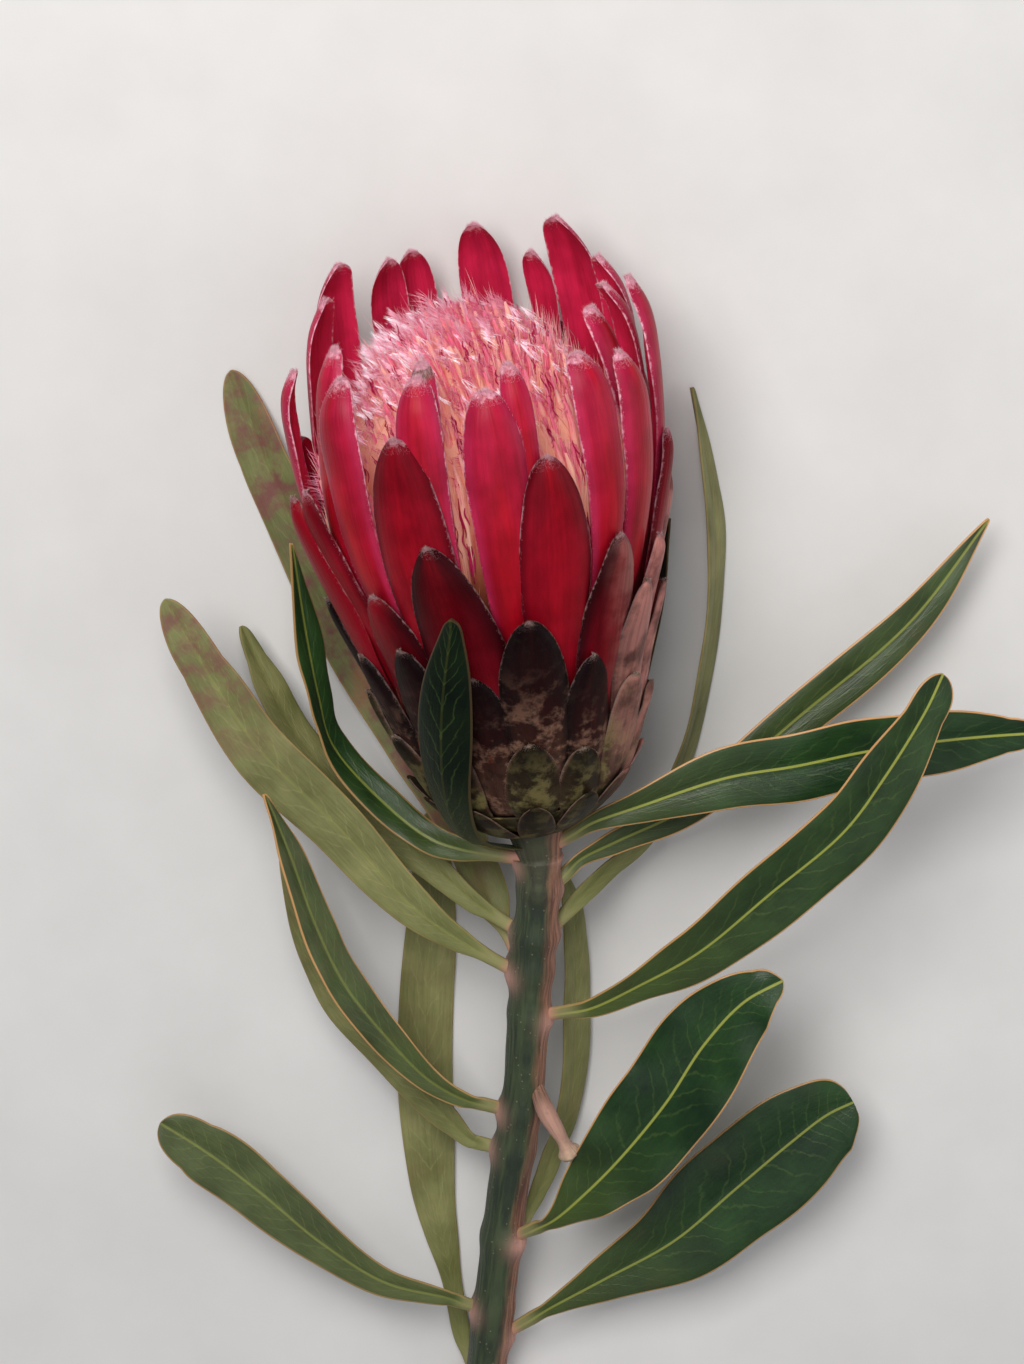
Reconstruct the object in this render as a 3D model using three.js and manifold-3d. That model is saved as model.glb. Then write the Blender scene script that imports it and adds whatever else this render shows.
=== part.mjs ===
// A protea flower, picked with a leafy length of stem and laid on its back on a flat surface.
// Millimetres, +Z up. +X is to the right, +Y runs along the flower from the cut end to the bract tips.
//
// The head is a goblet of nested whorls of bracts round a dome of hairy florets. Every whorl follows one
// cup profile, each a little further out than the one inside it, so the whorls nest without touching.
import * as THREE from 'three';
import { mergeVertices } from 'three/addons/utils/BufferGeometryUtils.js';
import Module from 'manifold-3d';

const wasm = await Module();
wasm.setup();

// ---- driving dimensions ---------------------------------------------------------------------------

const SEAT_GAP = 0.3;              // clearance between a piece and what carries it
const HEAD_BASE = [4, -26.5, 24.9]; // where the lowest bracts leave the stem
const HEAD_LEAN = 8;               // degrees the head leans to the left of +Y
const HEAD_PITCH = 8;              // degrees its axis rises off the surface
const STEM_RADIUS = 4;
const STEM_SIDES = 10;
const STEM_RINGS = 32;
const NODE_SWELL = 0.7;            // how far a leaf node swells the stem
const NODE_REACH = 2.4;            // half the length of that swelling
const CUT_END_TAPER = 8;           // the first eighth of the stem, by its cut end, swells less
const BRACT_THICKNESS = 0.9;
const BRACT_TIP_BEND = 0.8;        // share of a bract below the stretch that bends in
const ROOT_THICKNESS = 0.4;
const CUP_THICKNESS = 1.1;
const CUP_FLOOR = 2.5;             // depth of the packed bract bases at the foot of a cup
const CUP_SIDES = 20;
const FLORET_COUNT = 180;
const FLORET_LENGTH = 13;
const FLORET_WIDTH = 1.8;
const FLORET_SEED = 7;
const FLORET_ROOT_SIZE = 0.5;      // radius at the root and at the tip in floret widths
const FLORET_TIP_SIZE = 0.22;
const FLORET_ROOT_SPREAD = 0.87;   // the roots stand closer together than the tips
const FLORET_ROOT_LIMIT = 24;      // radius that keeps them inside the core
const CROWN_SHARE = 0.62;          // share of the florets that stand on the crown, the rest on the side
const SIDE_DEPTH = 26;             // how far down the side they reach
const SIDE_BULGE = 2.4;
const GOLDEN_ANGLE = 180 * (3 - Math.sqrt(5));
const LEAF_EDGE = 0.8;             // thickness of a leaf at its margin
const LEAF_MIDRIB = 1.3;           // and along its midrib
const BUD_THICKNESS = 0.9;         // of the young leaves against the head
const PETIOLE_THICKNESS = 1.9;
const PETIOLE_EDGE = 1.14;         // a stalk is thinner at its sides
const LEAF_STATIONS = 10;
const STALK_WIDTHS = [1.3, 1.4];   // half widths of a leaf's stalk at the stem and halfway along
const STALK_REACH = [0.1, 0.25];   // share of a leaf over which the stalk turns into the blade

// Inner face of the cup that the tallest bracts follow: height above the head's base, radius.
const CUP_PROFILE = [
  [-6, 1], [0, 4.5], [4, 9], [10, 14], [20, 18.5], [30, 21.8], [40, 25.2], [50, 28.6],
  [60, 31.8], [70, 34], [80, 34.8], [90, 34.8], [100, 34], [108, 32.8],
];

// The receptacle, the stem's swollen top that all the bracts stand on: height, radius.
const RECEPTACLE = [[-9, 4.2], [-4, 5.4], [0, 7.4], [3, 9.2], [8, 10.8], [14, 11.8], [17, 11], [18.5, 6]];

// Where the florets' tips reach: height, radius. The core that they stand on: radius, height.
const FLORET_DOME = [[88, 25], [94, 21.6], [98.4, 15.5], [101, 9], [102.2, 0.2]];
const SHOULDER = FLORET_DOME[0];
const CORE_CROWN = [[26, 58], [25.6, 72], [22, 81], [13, 88.5], [0, 92]];

// The whorls, from the tallest inside to the collar outside. Each bract: azimuth round the head from the
// side that faces up (positive to the right), height of its tip, half width, shift of its tip inwards.
const WHORLS = [
  {
    name: 'bracts_inner', colour: 0xd0315a, offset: 0, foot: 14, rim: 45, incurve: 1.5,
    bracts: [
      [6.5, 94, 5.7, 0], [16, 97, 3.6, 1.8], [43, 95.6, 5.3, 0], [62, 92.5, 6.4, 0], [76, 98, 4.2, 7],
      [92, 101, 5.6, 0], [106, 98, 4.8, 3], [119, 101, 5.2, 0], [137, 107.5, 5.7, 0], [154, 100, 2.8, 0],
      [172, 106.4, 4.8, 0], [194, 103, 4, 0], [205, 103, 3.6, 1.8], [226, 104.6, 4.8, 0], [246, 101, 5, 3.5],
      [265, 91.5, 4.6, 0], [303, 100, 4, 4], [316, 96.4, 5.9, 0], [344, 97.4, 4.8, 0], [350, 99.6, 2.8, 2.6],
    ],
  },
  {
    name: 'bracts_middle', colour: 0xa81734, offset: 1.6, foot: 11, rim: 37, incurve: 0.3,
    bracts: [
      [-23, 88, 7.2, 0], [21.5, 81, 7, 0], [-63, 75, 6.4, 0], [86, 72.5, 6.4, 0], [118, 80, 6.8, 0],
      [150, 86, 6.8, 0], [182, 84, 7.2, 0], [216, 80, 6.8, 0], [250, 76, 6.8, 0],
    ],
  },
  {
    name: 'bracts_lower', colour: 0x7d1420, offset: 3.2, foot: 8, rim: 27, incurve: 0.3,
    bracts: [
      [-13, 68, 7.8, 0], [-41, 57, 6.4, 0], [43, 62, 6.8, 0], [-69, 73, 6.2, 0], [72, 56, 5.8, 0],
      [100, 62, 6.6, 0], [126, 57, 6.4, 0], [152, 60, 6.2, 0], [179, 52, 6.4, 0], [206, 59, 6.4, 0],
      [233, 62, 6.4, 0], [261, 57, 6.2, 0],
    ],
  },
  {
    name: 'bracts_dark', colour: 0x33181a, offset: 4.8, foot: 5, rim: 15, incurve: 0.3,
    bracts: [
      [10, 51, 6.6, 0], [34, 40, 5.2, 0], [59, 50, 5.8, 0], [-14, 40, 5.2, 0], [-38, 46, 5.6, 0],
      [-64, 41, 5.8, 0], [-90, 48, 5.8, 0], [84, 44, 5.6, 0], [110, 50, 5.8, 0], [136, 42, 5.8, 0],
      [162, 49, 5.8, 0], [188, 41, 5.8, 0], [214, 47, 5.8, 0], [241, 42, 5.8, 0],
    ],
  },
  {
    name: 'bracts_base', colour: 0x4a3a26, offset: 6.4, foot: 1.5, rim: 7.5, incurve: 0.3,
    bracts: [
      [4, 24.6, 5.4, 0], [30, 21, 4.8, 0], [55, 32, 5.2, 0], [82, 25, 5.2, 0], [109, 29, 5.2, 0],
      [136, 24, 5.2, 0], [163, 28, 5.2, 0], [190, 23, 5.2, 0], [217, 28, 5.2, 0], [244, 24, 5.2, 0],
      [271, 29, 5.2, 0], [298, 24, 5.2, 0], [325, 28, 5.2, 0],
    ],
  },
];

// Two young leaves pressed against the head: azimuth, height, radius, half width from foot to tip.
const HEAD_LEAVES = [
  {
    name: 'leaf_front_bud', colour: 0x1c2418,
    points: [
      [-52, -6, 4.5, 1.4], [-48, -2.5, 11, 2], [-43, 3, 18.4, 3], [-35, 14, 25, 4.6],
      [-27, 28, 30.2, 5.6], [-20, 42, 34.8, 5], [-15, 52, 38, 2.8], [-14, 55, 38.8, 0.8],
    ],
  },
  {
    name: 'leaf_back_bud', colour: 0x2c2c1c,
    points: [
      [128, -6, 4.5, 1.4], [127, -2.5, 11, 2], [125, 3, 18.4, 3], [123, 14, 25, 4.6],
      [121, 28, 30.2, 5.4], [119, 38, 33.4, 4.4], [118, 45, 35.6, 2.4], [118, 48, 36.6, 0.8],
    ],
  },
];

// The stem's middle line from the cut end to the head.
const STEM_LINE = [
  [-6, -157, 3.96], [-3.5, -134, 7.8], [-1, -110, 11.6], [2, -88, 15.2], [3.4, -66, 18.8], [4.8, -45, 22.4],
  [5, -36, 23.9], HEAD_BASE,
];

// The stub of a leaf stalk that has broken off, fused to the stem.
const STUB_LINE = [[3, -87, 16], [6, -90, 18.5], [8.5, -95, 19.5], [11.5, -99, 19]];
const STUB_RADII = [2.2, 1.6, 1.3, 1.7];
const STUB_SIDES = 7;

// Leaves along the stem. at is where the stalk leaves the stem: place along Y and angle round it, from
// the side that faces up. Each point: x, y, z, half width, roll about the midrib in degrees.
const LEAVES = [
  {
    name: 'leaf_a', colour: 0x6b6046, at: [-58, -120], fold: 14,
    points: [
      [-4, -48, 13, 3.6, 20], [-8, -39, 10.5, 4, 25], [-13, -30, 8, 4.2, 20], [-20, -19, 5.5, 4.4, 10],
      [-30, -3, 3, 4.6, 0], [-39, 17, 1.6, 4.9, -10], [-47, 36, 1, 4.8, -10], [-53, 53, 0.4, 1, 0],
    ],
  },
  {
    name: 'leaf_b', colour: 0x33401f, at: [-36, -80], fold: 16,
    points: [
      [-10, -34, 24.6, 2.4, 10], [-16, -32, 23.6, 3, 20], [-24, -26, 22, 3.4, 30], [-34, -15, 20, 3.6, 60],
      [-36.5, -6, 19, 3.6, 55], [-38.5, 5, 19, 3.4, 50], [-41, 24, 20, 0.8, 40],
    ],
  },
  {
    name: 'leaf_c', colour: 0x5d5a3e, at: [-60, -75], fold: 12,
    points: [
      [-10, -53, 22, 2.4, 0], [-19, -46, 22.5, 4, 0], [-32, -31, 23, 5.4, 0], [-47, -15, 24, 5.6, 0],
      [-56, -1, 24, 4.6, 0], [-64.5, 14, 23, 1.2, 0],
    ],
  },
  {
    name: 'leaf_d', colour: 0x7d7c66, at: [-52, -110], fold: 10,
    points: [
      [-7, -47, 18, 2, 0], [-16, -40, 15, 3, 0], [-27, -32, 12, 3.6, 20], [-41, -16, 9.5, 3.6, 40],
      [-46.5, -6, 8.5, 3.2, 40], [-51.5, 5, 7.5, 1, 40],
    ],
  },
  {
    name: 'leaf_e', colour: 0x2c3320, at: [-90, -80], fold: 18,
    points: [
      [-9, -87, 18, 1.6, 0], [-16, -82, 20.5, 2.4, 10], [-24, -72, 24, 3.4, 20], [-32, -60, 27, 4, 35],
      [-37, -48, 29, 3.8, 40], [-42, -32, 31, 2.6, 40], [-46, -21, 32, 0.8, 40],
    ],
  },
  {
    name: 'leaf_f', colour: 0x6a6850, at: [-99, -95], fold: 14,
    points: [
      [-8, -98, 11.5, 1.6, 0], [-13, -93, 12, 2.6, 0], [-21, -83, 14, 3.6, -10], [-33, -67, 16, 4, -20],
      [-39, -53, 17.5, 3.4, -20], [-44, -36, 19, 0.9, -20],
    ],
  },
  {
    name: 'leaf_g', colour: 0x77745c, at: [-152, -140], fold: 6,
    points: [
      [-10, -144, 2, 1.8, 0], [-12, -133, 0.6, 2, 0], [-14, -123, 0.6, 3.2, 0], [-16, -111, 0.6, 4.6, 0],
      [-17, -94, 0.6, 5.4, 0], [-17, -73, 0.6, 5.4, 0], [-15.5, -52, 0.6, 4.4, 0], [-16, -34, 0.6, 1.2, 0],
    ],
  },
  {
    name: 'leaf_h', colour: 0x26301e, at: [-135, -75], fold: 14,
    points: [
      [-13, -132, 10, 1.8, 0], [-25, -128, 12, 2.8, 10], [-38, -118.3, 14, 4.4, 15], [-49, -107.8, 15, 5.6, 10],
      [-60, -98.6, 15.5, 5.8, 10], [-68.5, -92.8, 15.5, 1.6, 10],
    ],
  },
  {
    name: 'leaf_i', colour: 0x6d6f4b, at: [-52, 120], fold: 12,
    points: [
      [12, -47, 18, 1.6, 0], [18, -42, 14, 2.2, 20], [26, -36, 9.5, 3, 50], [33, -21, 4.6, 4.4, 66],
      [37, -2, 4.3, 5, 68], [38.4, 18, 4.3, 5, 70], [37, 33, 3.6, 4.2, 70], [34, 50, 1.8, 1.2, 70],
    ],
  },
  {
    name: 'leaf_j', colour: 0x1f2b1a, at: [-33, 70], fold: 14,
    points: [
      [15, -28, 27.4, 1.7, 0], [24, -24.5, 28, 3.4, 0], [40, -19, 28, 6, 0], [53, -17, 27, 6.6, 0],
      [66, -14.5, 26, 6.6, 0], [80, -13, 24, 6, 0], [91, -12.5, 22, 4.2, 0], [100, -12.5, 20, 1.2, 0],
    ],
  },
  {
    name: 'leaf_k', colour: 0x1f2b1a, at: [-69, 65], fold: 16,
    points: [
      [15, -66, 24, 1.9, 0], [24, -60, 28, 3.4, 5], [35, -52, 32, 5.6, 10], [48, -39, 36, 7, 10],
      [61, -26, 39.5, 7, 10], [68, -15, 41.5, 6, 10], [75, -2, 43, 4, 10], [78, 5, 43, 1.4, 10],
    ],
  },
  {
    name: 'leaf_m', colour: 0x4a3b26, at: [-42, 105], fold: 12,
    points: [
      [13, -37, 21.5, 1.5, 0], [20, -34, 19.6, 2.4, 0], [34, -28, 16, 3.6, 0], [55, -11, 12.5, 4.4, 0],
      [75, 6, 10, 4, 0], [90, 26, 8, 0.9, 0],
    ],
  },
  {
    name: 'leaf_n', colour: 0x1d2718, at: [-118, 50], fold: 16,
    points: [
      [8, -112, 18.5, 1.9, -10], [14.5, -105, 21, 5.6, -10], [21, -97, 23, 8.4, -10],
      [29.5, -84.5, 26, 9.6, -10], [36.5, -72, 28, 9.2, -10], [44, -62.5, 30, 6.8, -10], [51, -58, 31, 2, -10],
    ],
  },
  {
    name: 'leaf_o', colour: 0x1d2718, at: [-141, 80], fold: 12,
    points: [
      [8, -134, 10, 1.9, 0], [18, -127.8, 11, 4.6, 0], [32, -119, 12, 9, 0], [44, -107.5, 13, 11.2, 0],
      [54.5, -97.4, 14, 10.4, 0], [61.5, -91.6, 14, 7.2, 0], [66.5, -89, 14, 2.2, 0],
    ],
  },
  {
    name: 'leaf_p', colour: 0x73714f, at: [-120, 120], fold: 10,
    points: [
      [5, -111, 7, 2, 30], [8, -103, 5.6, 3, 40], [11.5, -92, 4.4, 3.8, 50], [12.5, -71, 4.4, 4, 50],
      [12, -56, 5, 3.4, 50], [10, -44, 6.5, 1, 50],
    ],
  },
];

// ---- small tools ----------------------------------------------------------------------------------

const vector = (p) => new THREE.Vector3(p[0], p[1], p[2]);
const radians = THREE.MathUtils.degToRad;

// A smooth curve through rows [x, value, value, ...], read at x: cubic pieces with finite-difference slopes.
function through(rows, x, column = 1) {
  const last = rows.length - 1;
  const place = THREE.MathUtils.clamp(x, rows[0][0], rows[last][0]);
  let i = 0;
  while (i < last - 1 && place > rows[i + 1][0]) i += 1;
  const slope = (k) => {
    const a = rows[Math.max(k - 1, 0)];
    const b = rows[Math.min(k + 1, last)];
    return (b[column] - a[column]) / (b[0] - a[0]);
  };
  const span = rows[i + 1][0] - rows[i][0];
  const t = (place - rows[i][0]) / span;
  const [p, q, m, n] = [rows[i][column], rows[i + 1][column], slope(i) * span, slope(i + 1) * span];
  return p + m * t + (3 * (q - p) - 2 * m - n) * t * t + (2 * (p - q) + m + n) * t ** 3;
}

// A closed geometry from points and triangles, with its faces pointing out.
function closedGeometry(points, triangles) {
  let volume = 0;
  for (const [a, b, c] of triangles) {
    volume += points[a].dot(new THREE.Vector3().crossVectors(points[b], points[c]));
  }
  const index = triangles.flatMap(([a, b, c]) => (volume < 0 ? [a, c, b] : [a, b, c]));
  const geometry = new THREE.BufferGeometry();
  geometry.setAttribute('position', new THREE.Float32BufferAttribute(points.flatMap((p) => p.toArray()), 3));
  geometry.setIndex(index);
  return geometry;
}

// A solid lofted through rings of equal count. A flat blade's ring runs along one face and back along the
// other, with its ends closed in strips from face to face; a round ring is closed as a fan.
function loft(rings, flat) {
  const n = rings[0].length;
  const triangles = [];
  for (let i = 0; i < rings.length - 1; i += 1) {
    for (let j = 0; j < n; j += 1) {
      const a = i * n + j;
      const b = i * n + ((j + 1) % n);
      // a blade's two faces are split along the same diagonal, so that they bend alike and never cross
      if (flat && j < n / 2) triangles.push([a, b, b + n], [a, b + n, a + n]);
      else triangles.push([a, b, a + n], [b, b + n, a + n]);
    }
  }
  const cap = flat ? stripCap(n) : fanCap(n);
  const top = (rings.length - 1) * n;
  triangles.push(...cap.map(([a, b, c]) => [a, c, b]), ...cap.map((face) => face.map((k) => k + top)));
  return closedGeometry(rings.flat(), triangles);
}

function fanCap(n) {
  return Array.from({ length: n - 2 }, (_, j) => [0, j + 1, j + 2]);
}

function stripCap(n) {
  const quads = Array.from({ length: n / 2 - 1 }, (_, j) => [j, j + 1, n - 2 - j, n - 1 - j]);
  return quads.flatMap(([a, b, c, d]) => [[a, b, c], [a, c, d]]);
}

function toSolid(geometry) {
  const merged = geometry.clone();
  merged.deleteAttribute('normal');
  merged.deleteAttribute('uv');
  const welded = mergeVertices(merged, 1e-4);
  const vertProperties = new Float32Array(welded.attributes.position.array);
  const triVerts = new Uint32Array(welded.index.array);
  return new wasm.Manifold(new wasm.Mesh({ numProp: 3, vertProperties, triVerts }));
}

function toGeometry(solid) {
  const mesh = solid.getMesh();
  const geometry = new THREE.BufferGeometry();
  geometry.setAttribute('position', new THREE.Float32BufferAttribute(mesh.vertProperties, 3));
  geometry.setIndex(new THREE.Uint32BufferAttribute(mesh.triVerts, 1));
  return geometry;
}

// A repeatable stream of numbers from 0 to 1.
function seeded(seed) {
  let state = seed;
  return () => {
    state = (state * 1664525 + 1013904223) % 4294967296;
    return state / 4294967296;
  };
}

// ---- the head's own frame -------------------------------------------------------------------------

const headAxis = new THREE.Vector3(
  -Math.sin(radians(HEAD_LEAN)) * Math.cos(radians(HEAD_PITCH)),
  Math.cos(radians(HEAD_LEAN)) * Math.cos(radians(HEAD_PITCH)),
  Math.sin(radians(HEAD_PITCH)),
);
const headUp = new THREE.Vector3(0, 0, 1).addScaledVector(headAxis, -headAxis.z).normalize();
const headRight = new THREE.Vector3().crossVectors(headAxis, headUp);

function headPoint(azimuth, height, radius) {
  return vector(HEAD_BASE)
    .addScaledVector(headAxis, height)
    .addScaledVector(headUp, radius * Math.cos(radians(azimuth)))
    .addScaledVector(headRight, radius * Math.sin(radians(azimuth)));
}

// ---- stem -----------------------------------------------------------------------------------------

const stemCurve = new THREE.CatmullRomCurve3(STEM_LINE.map(vector));
const nodePlaces = LEAVES.map((leaf) => leaf.at[0]);

function stemPointAt(y) {
  let low = 0;
  let high = 1;
  for (let i = 0; i < 30; i += 1) {
    const middle = (low + high) / 2;
    if (stemCurve.getPoint(middle).y < y) low = middle;
    else high = middle;
  }
  return stemCurve.getPoint(low);
}

function roundRing(centre, along, radius, sides) {
  const right = new THREE.Vector3(1, 0, 0).addScaledVector(along, -along.x).normalize();
  const up = new THREE.Vector3().crossVectors(right, along);
  return Array.from({ length: sides }, (_, j) => {
    const turn = (2 * Math.PI * j) / sides + Math.PI / 2;
    return centre.clone()
      .addScaledVector(right, radius * Math.cos(turn))
      .addScaledVector(up, radius * Math.sin(turn));
  });
}

// The stem with its swollen nodes and the receptacle at its top, grown all round by extra.
function stemGeometry(extra) {
  const rings = [];
  const lowest = RECEPTACLE[0][0];
  for (let i = 0; i <= STEM_RINGS; i += 1) {
    const u = i / STEM_RINGS;
    const centre = stemCurve.getPointAt(u);
    const height = centre.clone().sub(vector(HEAD_BASE)).dot(headAxis);
    if (height >= lowest) break;
    const swell = Math.max(...nodePlaces.map((y) => Math.exp(-(((centre.y - y) / NODE_REACH) ** 2))));
    const radius = STEM_RADIUS + NODE_SWELL * swell * Math.min(1, u * CUT_END_TAPER) + extra;
    rings.push(roundRing(centre, stemCurve.getTangentAt(u), radius, STEM_SIDES));
  }
  for (const [height, radius] of RECEPTACLE) {
    rings.push(roundRing(headPoint(0, height, 0), headAxis, radius + extra, STEM_SIDES));
  }
  return loft(rings, false);
}

function stubGeometry() {
  const curve = new THREE.CatmullRomCurve3(STUB_LINE.map(vector));
  const last = STUB_LINE.length - 1;
  const rings = STUB_RADII.map((radius, i) => {
    const t = i / last;
    return roundRing(curve.getPoint(t), curve.getTangent(t), radius, STUB_SIDES);
  });
  return loft(rings, false);
}

// ---- bracts ---------------------------------------------------------------------------------------

// A blade that follows the head: rows of azimuth, height, mid radius, half width. Each section is three
// points on the outer face and three on the inner one, on an arc round the head's axis. The first row is
// thinner, so that it lies inside the wall that it is sunk in.
function headBlade(rows, bladeThickness) {
  const rings = rows.map(([azimuth, height, radius, halfWidth], i) => {
    const thickness = i === 0 ? ROOT_THICKNESS : bladeThickness;
    const ring = [];
    for (const [side, order] of [[1, [-1, 0, 1]], [-1, [1, 0, -1]]]) {
      for (const j of order) {
        const turn = THREE.MathUtils.radToDeg((j * halfWidth) / radius);
        ring.push(headPoint(azimuth + turn, height, radius + (side * thickness) / 2));
      }
    }
    return ring;
  });
  return loft(rings, true);
}

// A bract's outline near its tip: share of the rounded length below the tip, share of the full width.
const TIP_OUTLINE = [[0, 0.3], [0.18, 0.62], [0.52, 0.87], [1, 1]];
const TIP_REACH = 3;               // length of the rounded end in half widths
const WAIST_WIDTH = 0.86;          // below the rounded end the bract narrows to its waist
const ROOT_WIDTH = 0.62;           // and to its root, sunk in the cup's rim
const ROOT_DEPTH = 1.2;

// The rows of a bract from its root to its tip, which bends in over the last fifth of its length.
function bractRows(whorl, [azimuth, tip, halfWidth, shift]) {
  const root = whorl.rim - ROOT_DEPTH;
  const reach = Math.min(TIP_REACH * halfWidth, 0.7 * (tip - root));
  const waist = (root + tip - reach) / 2;
  const outline = TIP_OUTLINE.map(([share, width]) => [tip - share * reach, width]);
  outline.push([waist, WAIST_WIDTH], [whorl.rim + ROOT_DEPTH, ROOT_WIDTH], [root, ROOT_WIDTH]);
  return outline.reverse().map(([height, width]) => {
    const t = (height - root) / (tip - root);
    const bend = Math.max(0, (t - BRACT_TIP_BEND) / (1 - BRACT_TIP_BEND)) ** 2;
    const lean = shift * THREE.MathUtils.smoothstep(t, 0, 1) + whorl.incurve * bend;
    const radius = through(CUP_PROFILE, height) + whorl.offset - CUP_THICKNESS / 2 - lean;
    return [azimuth, height, radius, halfWidth * width];
  });
}

// The ring of fused bract bases: it stands on the receptacle and rises along the cup profile to its rim.
function cupGeometry(whorl) {
  const outer = (h) => through(CUP_PROFILE, h) + whorl.offset;
  const floor = whorl.foot + CUP_FLOOR;
  const seat = Math.max(through(RECEPTACLE, whorl.foot), through(RECEPTACLE, floor)) + SEAT_GAP;
  const rise = whorl.rim - floor;
  const wall = [0, 0.5, 1].map((share) => floor + share * rise);
  const profile = [[seat, floor], [seat, whorl.foot], [outer(whorl.foot), whorl.foot]];
  profile.push(...wall.map((h) => [outer(h), h]));
  profile.push(...wall.reverse().map((h) => [outer(h) - CUP_THICKNESS, h]), [seat, floor]);
  return turned(profile.map(([r, h]) => new THREE.Vector2(r, h)));
}

// A profile of radius and height turned round the head's axis.
function turned(profile) {
  const geometry = new THREE.LatheGeometry(profile, CUP_SIDES);
  const basis = new THREE.Matrix4().makeBasis(headRight, headAxis, headUp);
  geometry.applyMatrix4(basis.setPosition(vector(HEAD_BASE)));
  return geometry;
}

function whorlSolid(whorl) {
  let solid = toSolid(cupGeometry(whorl));
  for (const bract of whorl.bracts) {
    solid = solid.add(toSolid(headBlade(bractRows(whorl, bract), BRACT_THICKNESS)));
  }
  return solid;
}

// Everything above the surface that the flower lies on: it presses its lowest bract a little flat there.
function aboveSurface() {
  const reach = 200; // more than the flower's length
  const block = new THREE.BoxGeometry(2 * reach, 2 * reach, reach);
  block.translate(0, 0, reach / 2);
  return toSolid(block);
}

// ---- florets --------------------------------------------------------------------------------------

// The packed florets: a core inside the innermost cup, which carries upright three-sided spikes.
function floretSolid() {
  const inner = WHORLS[0];
  const clear = (h) => through(CUP_PROFILE, h) - CUP_THICKNESS - 2 * SEAT_GAP;
  const foot = RECEPTACLE[RECEPTACLE.length - 1][0] + SEAT_GAP;
  const wall = [foot, (foot + inner.rim) / 2, inner.rim].map((h) => [clear(h), h]);
  const profile = [[0, foot], ...wall, ...CORE_CROWN];
  let solid = toSolid(turned(profile.map(([r, h]) => new THREE.Vector2(r, h))));
  const random = seeded(FLORET_SEED);
  for (let i = 0; i < FLORET_COUNT; i += 1) {
    solid = solid.add(toSolid(floret(i, random)));
  }
  return solid;
}

// Floret number i, counted by the golden angle from the crown down over the shoulder and the side.
function floret(i, random) {
  const azimuth = GOLDEN_ANGLE * i + 4 * random();
  const share = (i + 0.5) / FLORET_COUNT;
  const side = Math.max(0, (share - CROWN_SHARE) / (1 - CROWN_SHARE));
  const crownRadius = SHOULDER[1] * Math.sqrt(Math.min(1, share / CROWN_SHARE));
  const radius = side > 0 ? SHOULDER[1] + SIDE_BULGE * Math.sin(Math.PI * Math.min(side, 0.5)) : crownRadius;
  const height = (side > 0 ? SHOULDER[0] - SIDE_DEPTH * side : domeHeight(radius)) - random();
  const rootRadius = Math.min(FLORET_ROOT_SPREAD * radius, FLORET_ROOT_LIMIT);
  const root = headPoint(azimuth, height - FLORET_LENGTH, rootRadius);
  const tip = headPoint(azimuth, height, radius);
  const along = tip.clone().sub(root).normalize();
  const sizes = [[root, FLORET_ROOT_SIZE], [tip, FLORET_TIP_SIZE]];
  return loft(sizes.map(([end, size]) => roundRing(end, along, FLORET_WIDTH * size, 3)), false);
}

// Height of the florets' dome at a radius: the dome's table read the other way round, by halving.
function domeHeight(radius) {
  let low = SHOULDER[0];
  let high = FLORET_DOME[FLORET_DOME.length - 1][0];
  for (let i = 0; i < 24; i += 1) {
    const middle = (low + high) / 2;
    if (through(FLORET_DOME, middle) > radius) low = middle;
    else high = middle;
  }
  return low;
}

// ---- leaves ---------------------------------------------------------------------------------------

// A leaf along its midrib. Each section is folded up at the midrib, three points above and three below.
function leafGeometry(leaf) {
  const [place, angle] = leaf.at;
  const out = new THREE.Vector3(Math.sin(radians(angle)), 0, Math.cos(radians(angle)));
  const seat = stemPointAt(place).addScaledVector(out, STEM_RADIUS - 1);
  const stalk = seat.clone().lerp(vector(leaf.points[0]), 0.5);
  const line = [[...seat, STALK_WIDTHS[0], 0], [...stalk, STALK_WIDTHS[1], 0], ...leaf.points];
  const curve = new THREE.CatmullRomCurve3(line.map(vector), false, 'centripetal');
  const columns = line.map((row, i) => [i / (line.length - 1), row[3], row[4]]);
  const rings = [];
  for (let i = 0; i < LEAF_STATIONS; i += 1) {
    const t = i / (LEAF_STATIONS - 1);
    rings.push(leafSection(leaf, curve, t, through(columns, t, 1), through(columns, t, 2)));
  }
  return loft(rings, true);
}

function leafSection(leaf, curve, t, halfWidth, roll) {
  const along = curve.getTangent(t);
  const centre = curve.getPoint(t);
  const up = new THREE.Vector3(0, 0, 1).addScaledVector(along, -along.z).normalize();
  up.applyAxisAngle(along, radians(roll));
  const side = new THREE.Vector3().crossVectors(along, up);
  const opened = THREE.MathUtils.smoothstep(t, ...STALK_REACH);
  const rise = Math.tan(radians(leaf.fold)) * opened;
  const ring = [];
  for (const [face, order] of [[1, [-1, 0, 1]], [-1, [1, 0, -1]]]) {
    for (const j of order) {
      const stalk = j === 0 ? PETIOLE_THICKNESS : PETIOLE_EDGE;
      const blade = j === 0 ? LEAF_MIDRIB : LEAF_EDGE;
      const thickness = THREE.MathUtils.lerp(stalk, blade, opened);
      ring.push(centre.clone()
        .addScaledVector(side, j * halfWidth)
        .addScaledVector(up, Math.abs(j) * halfWidth * rise + (face * thickness) / 2));
    }
  }
  const lowest = Math.min(...ring.map((p) => p.z));
  if (lowest < 0) ring.forEach((p) => { p.z -= lowest; });
  return ring;
}

// ---- the flower -----------------------------------------------------------------------------------

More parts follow.
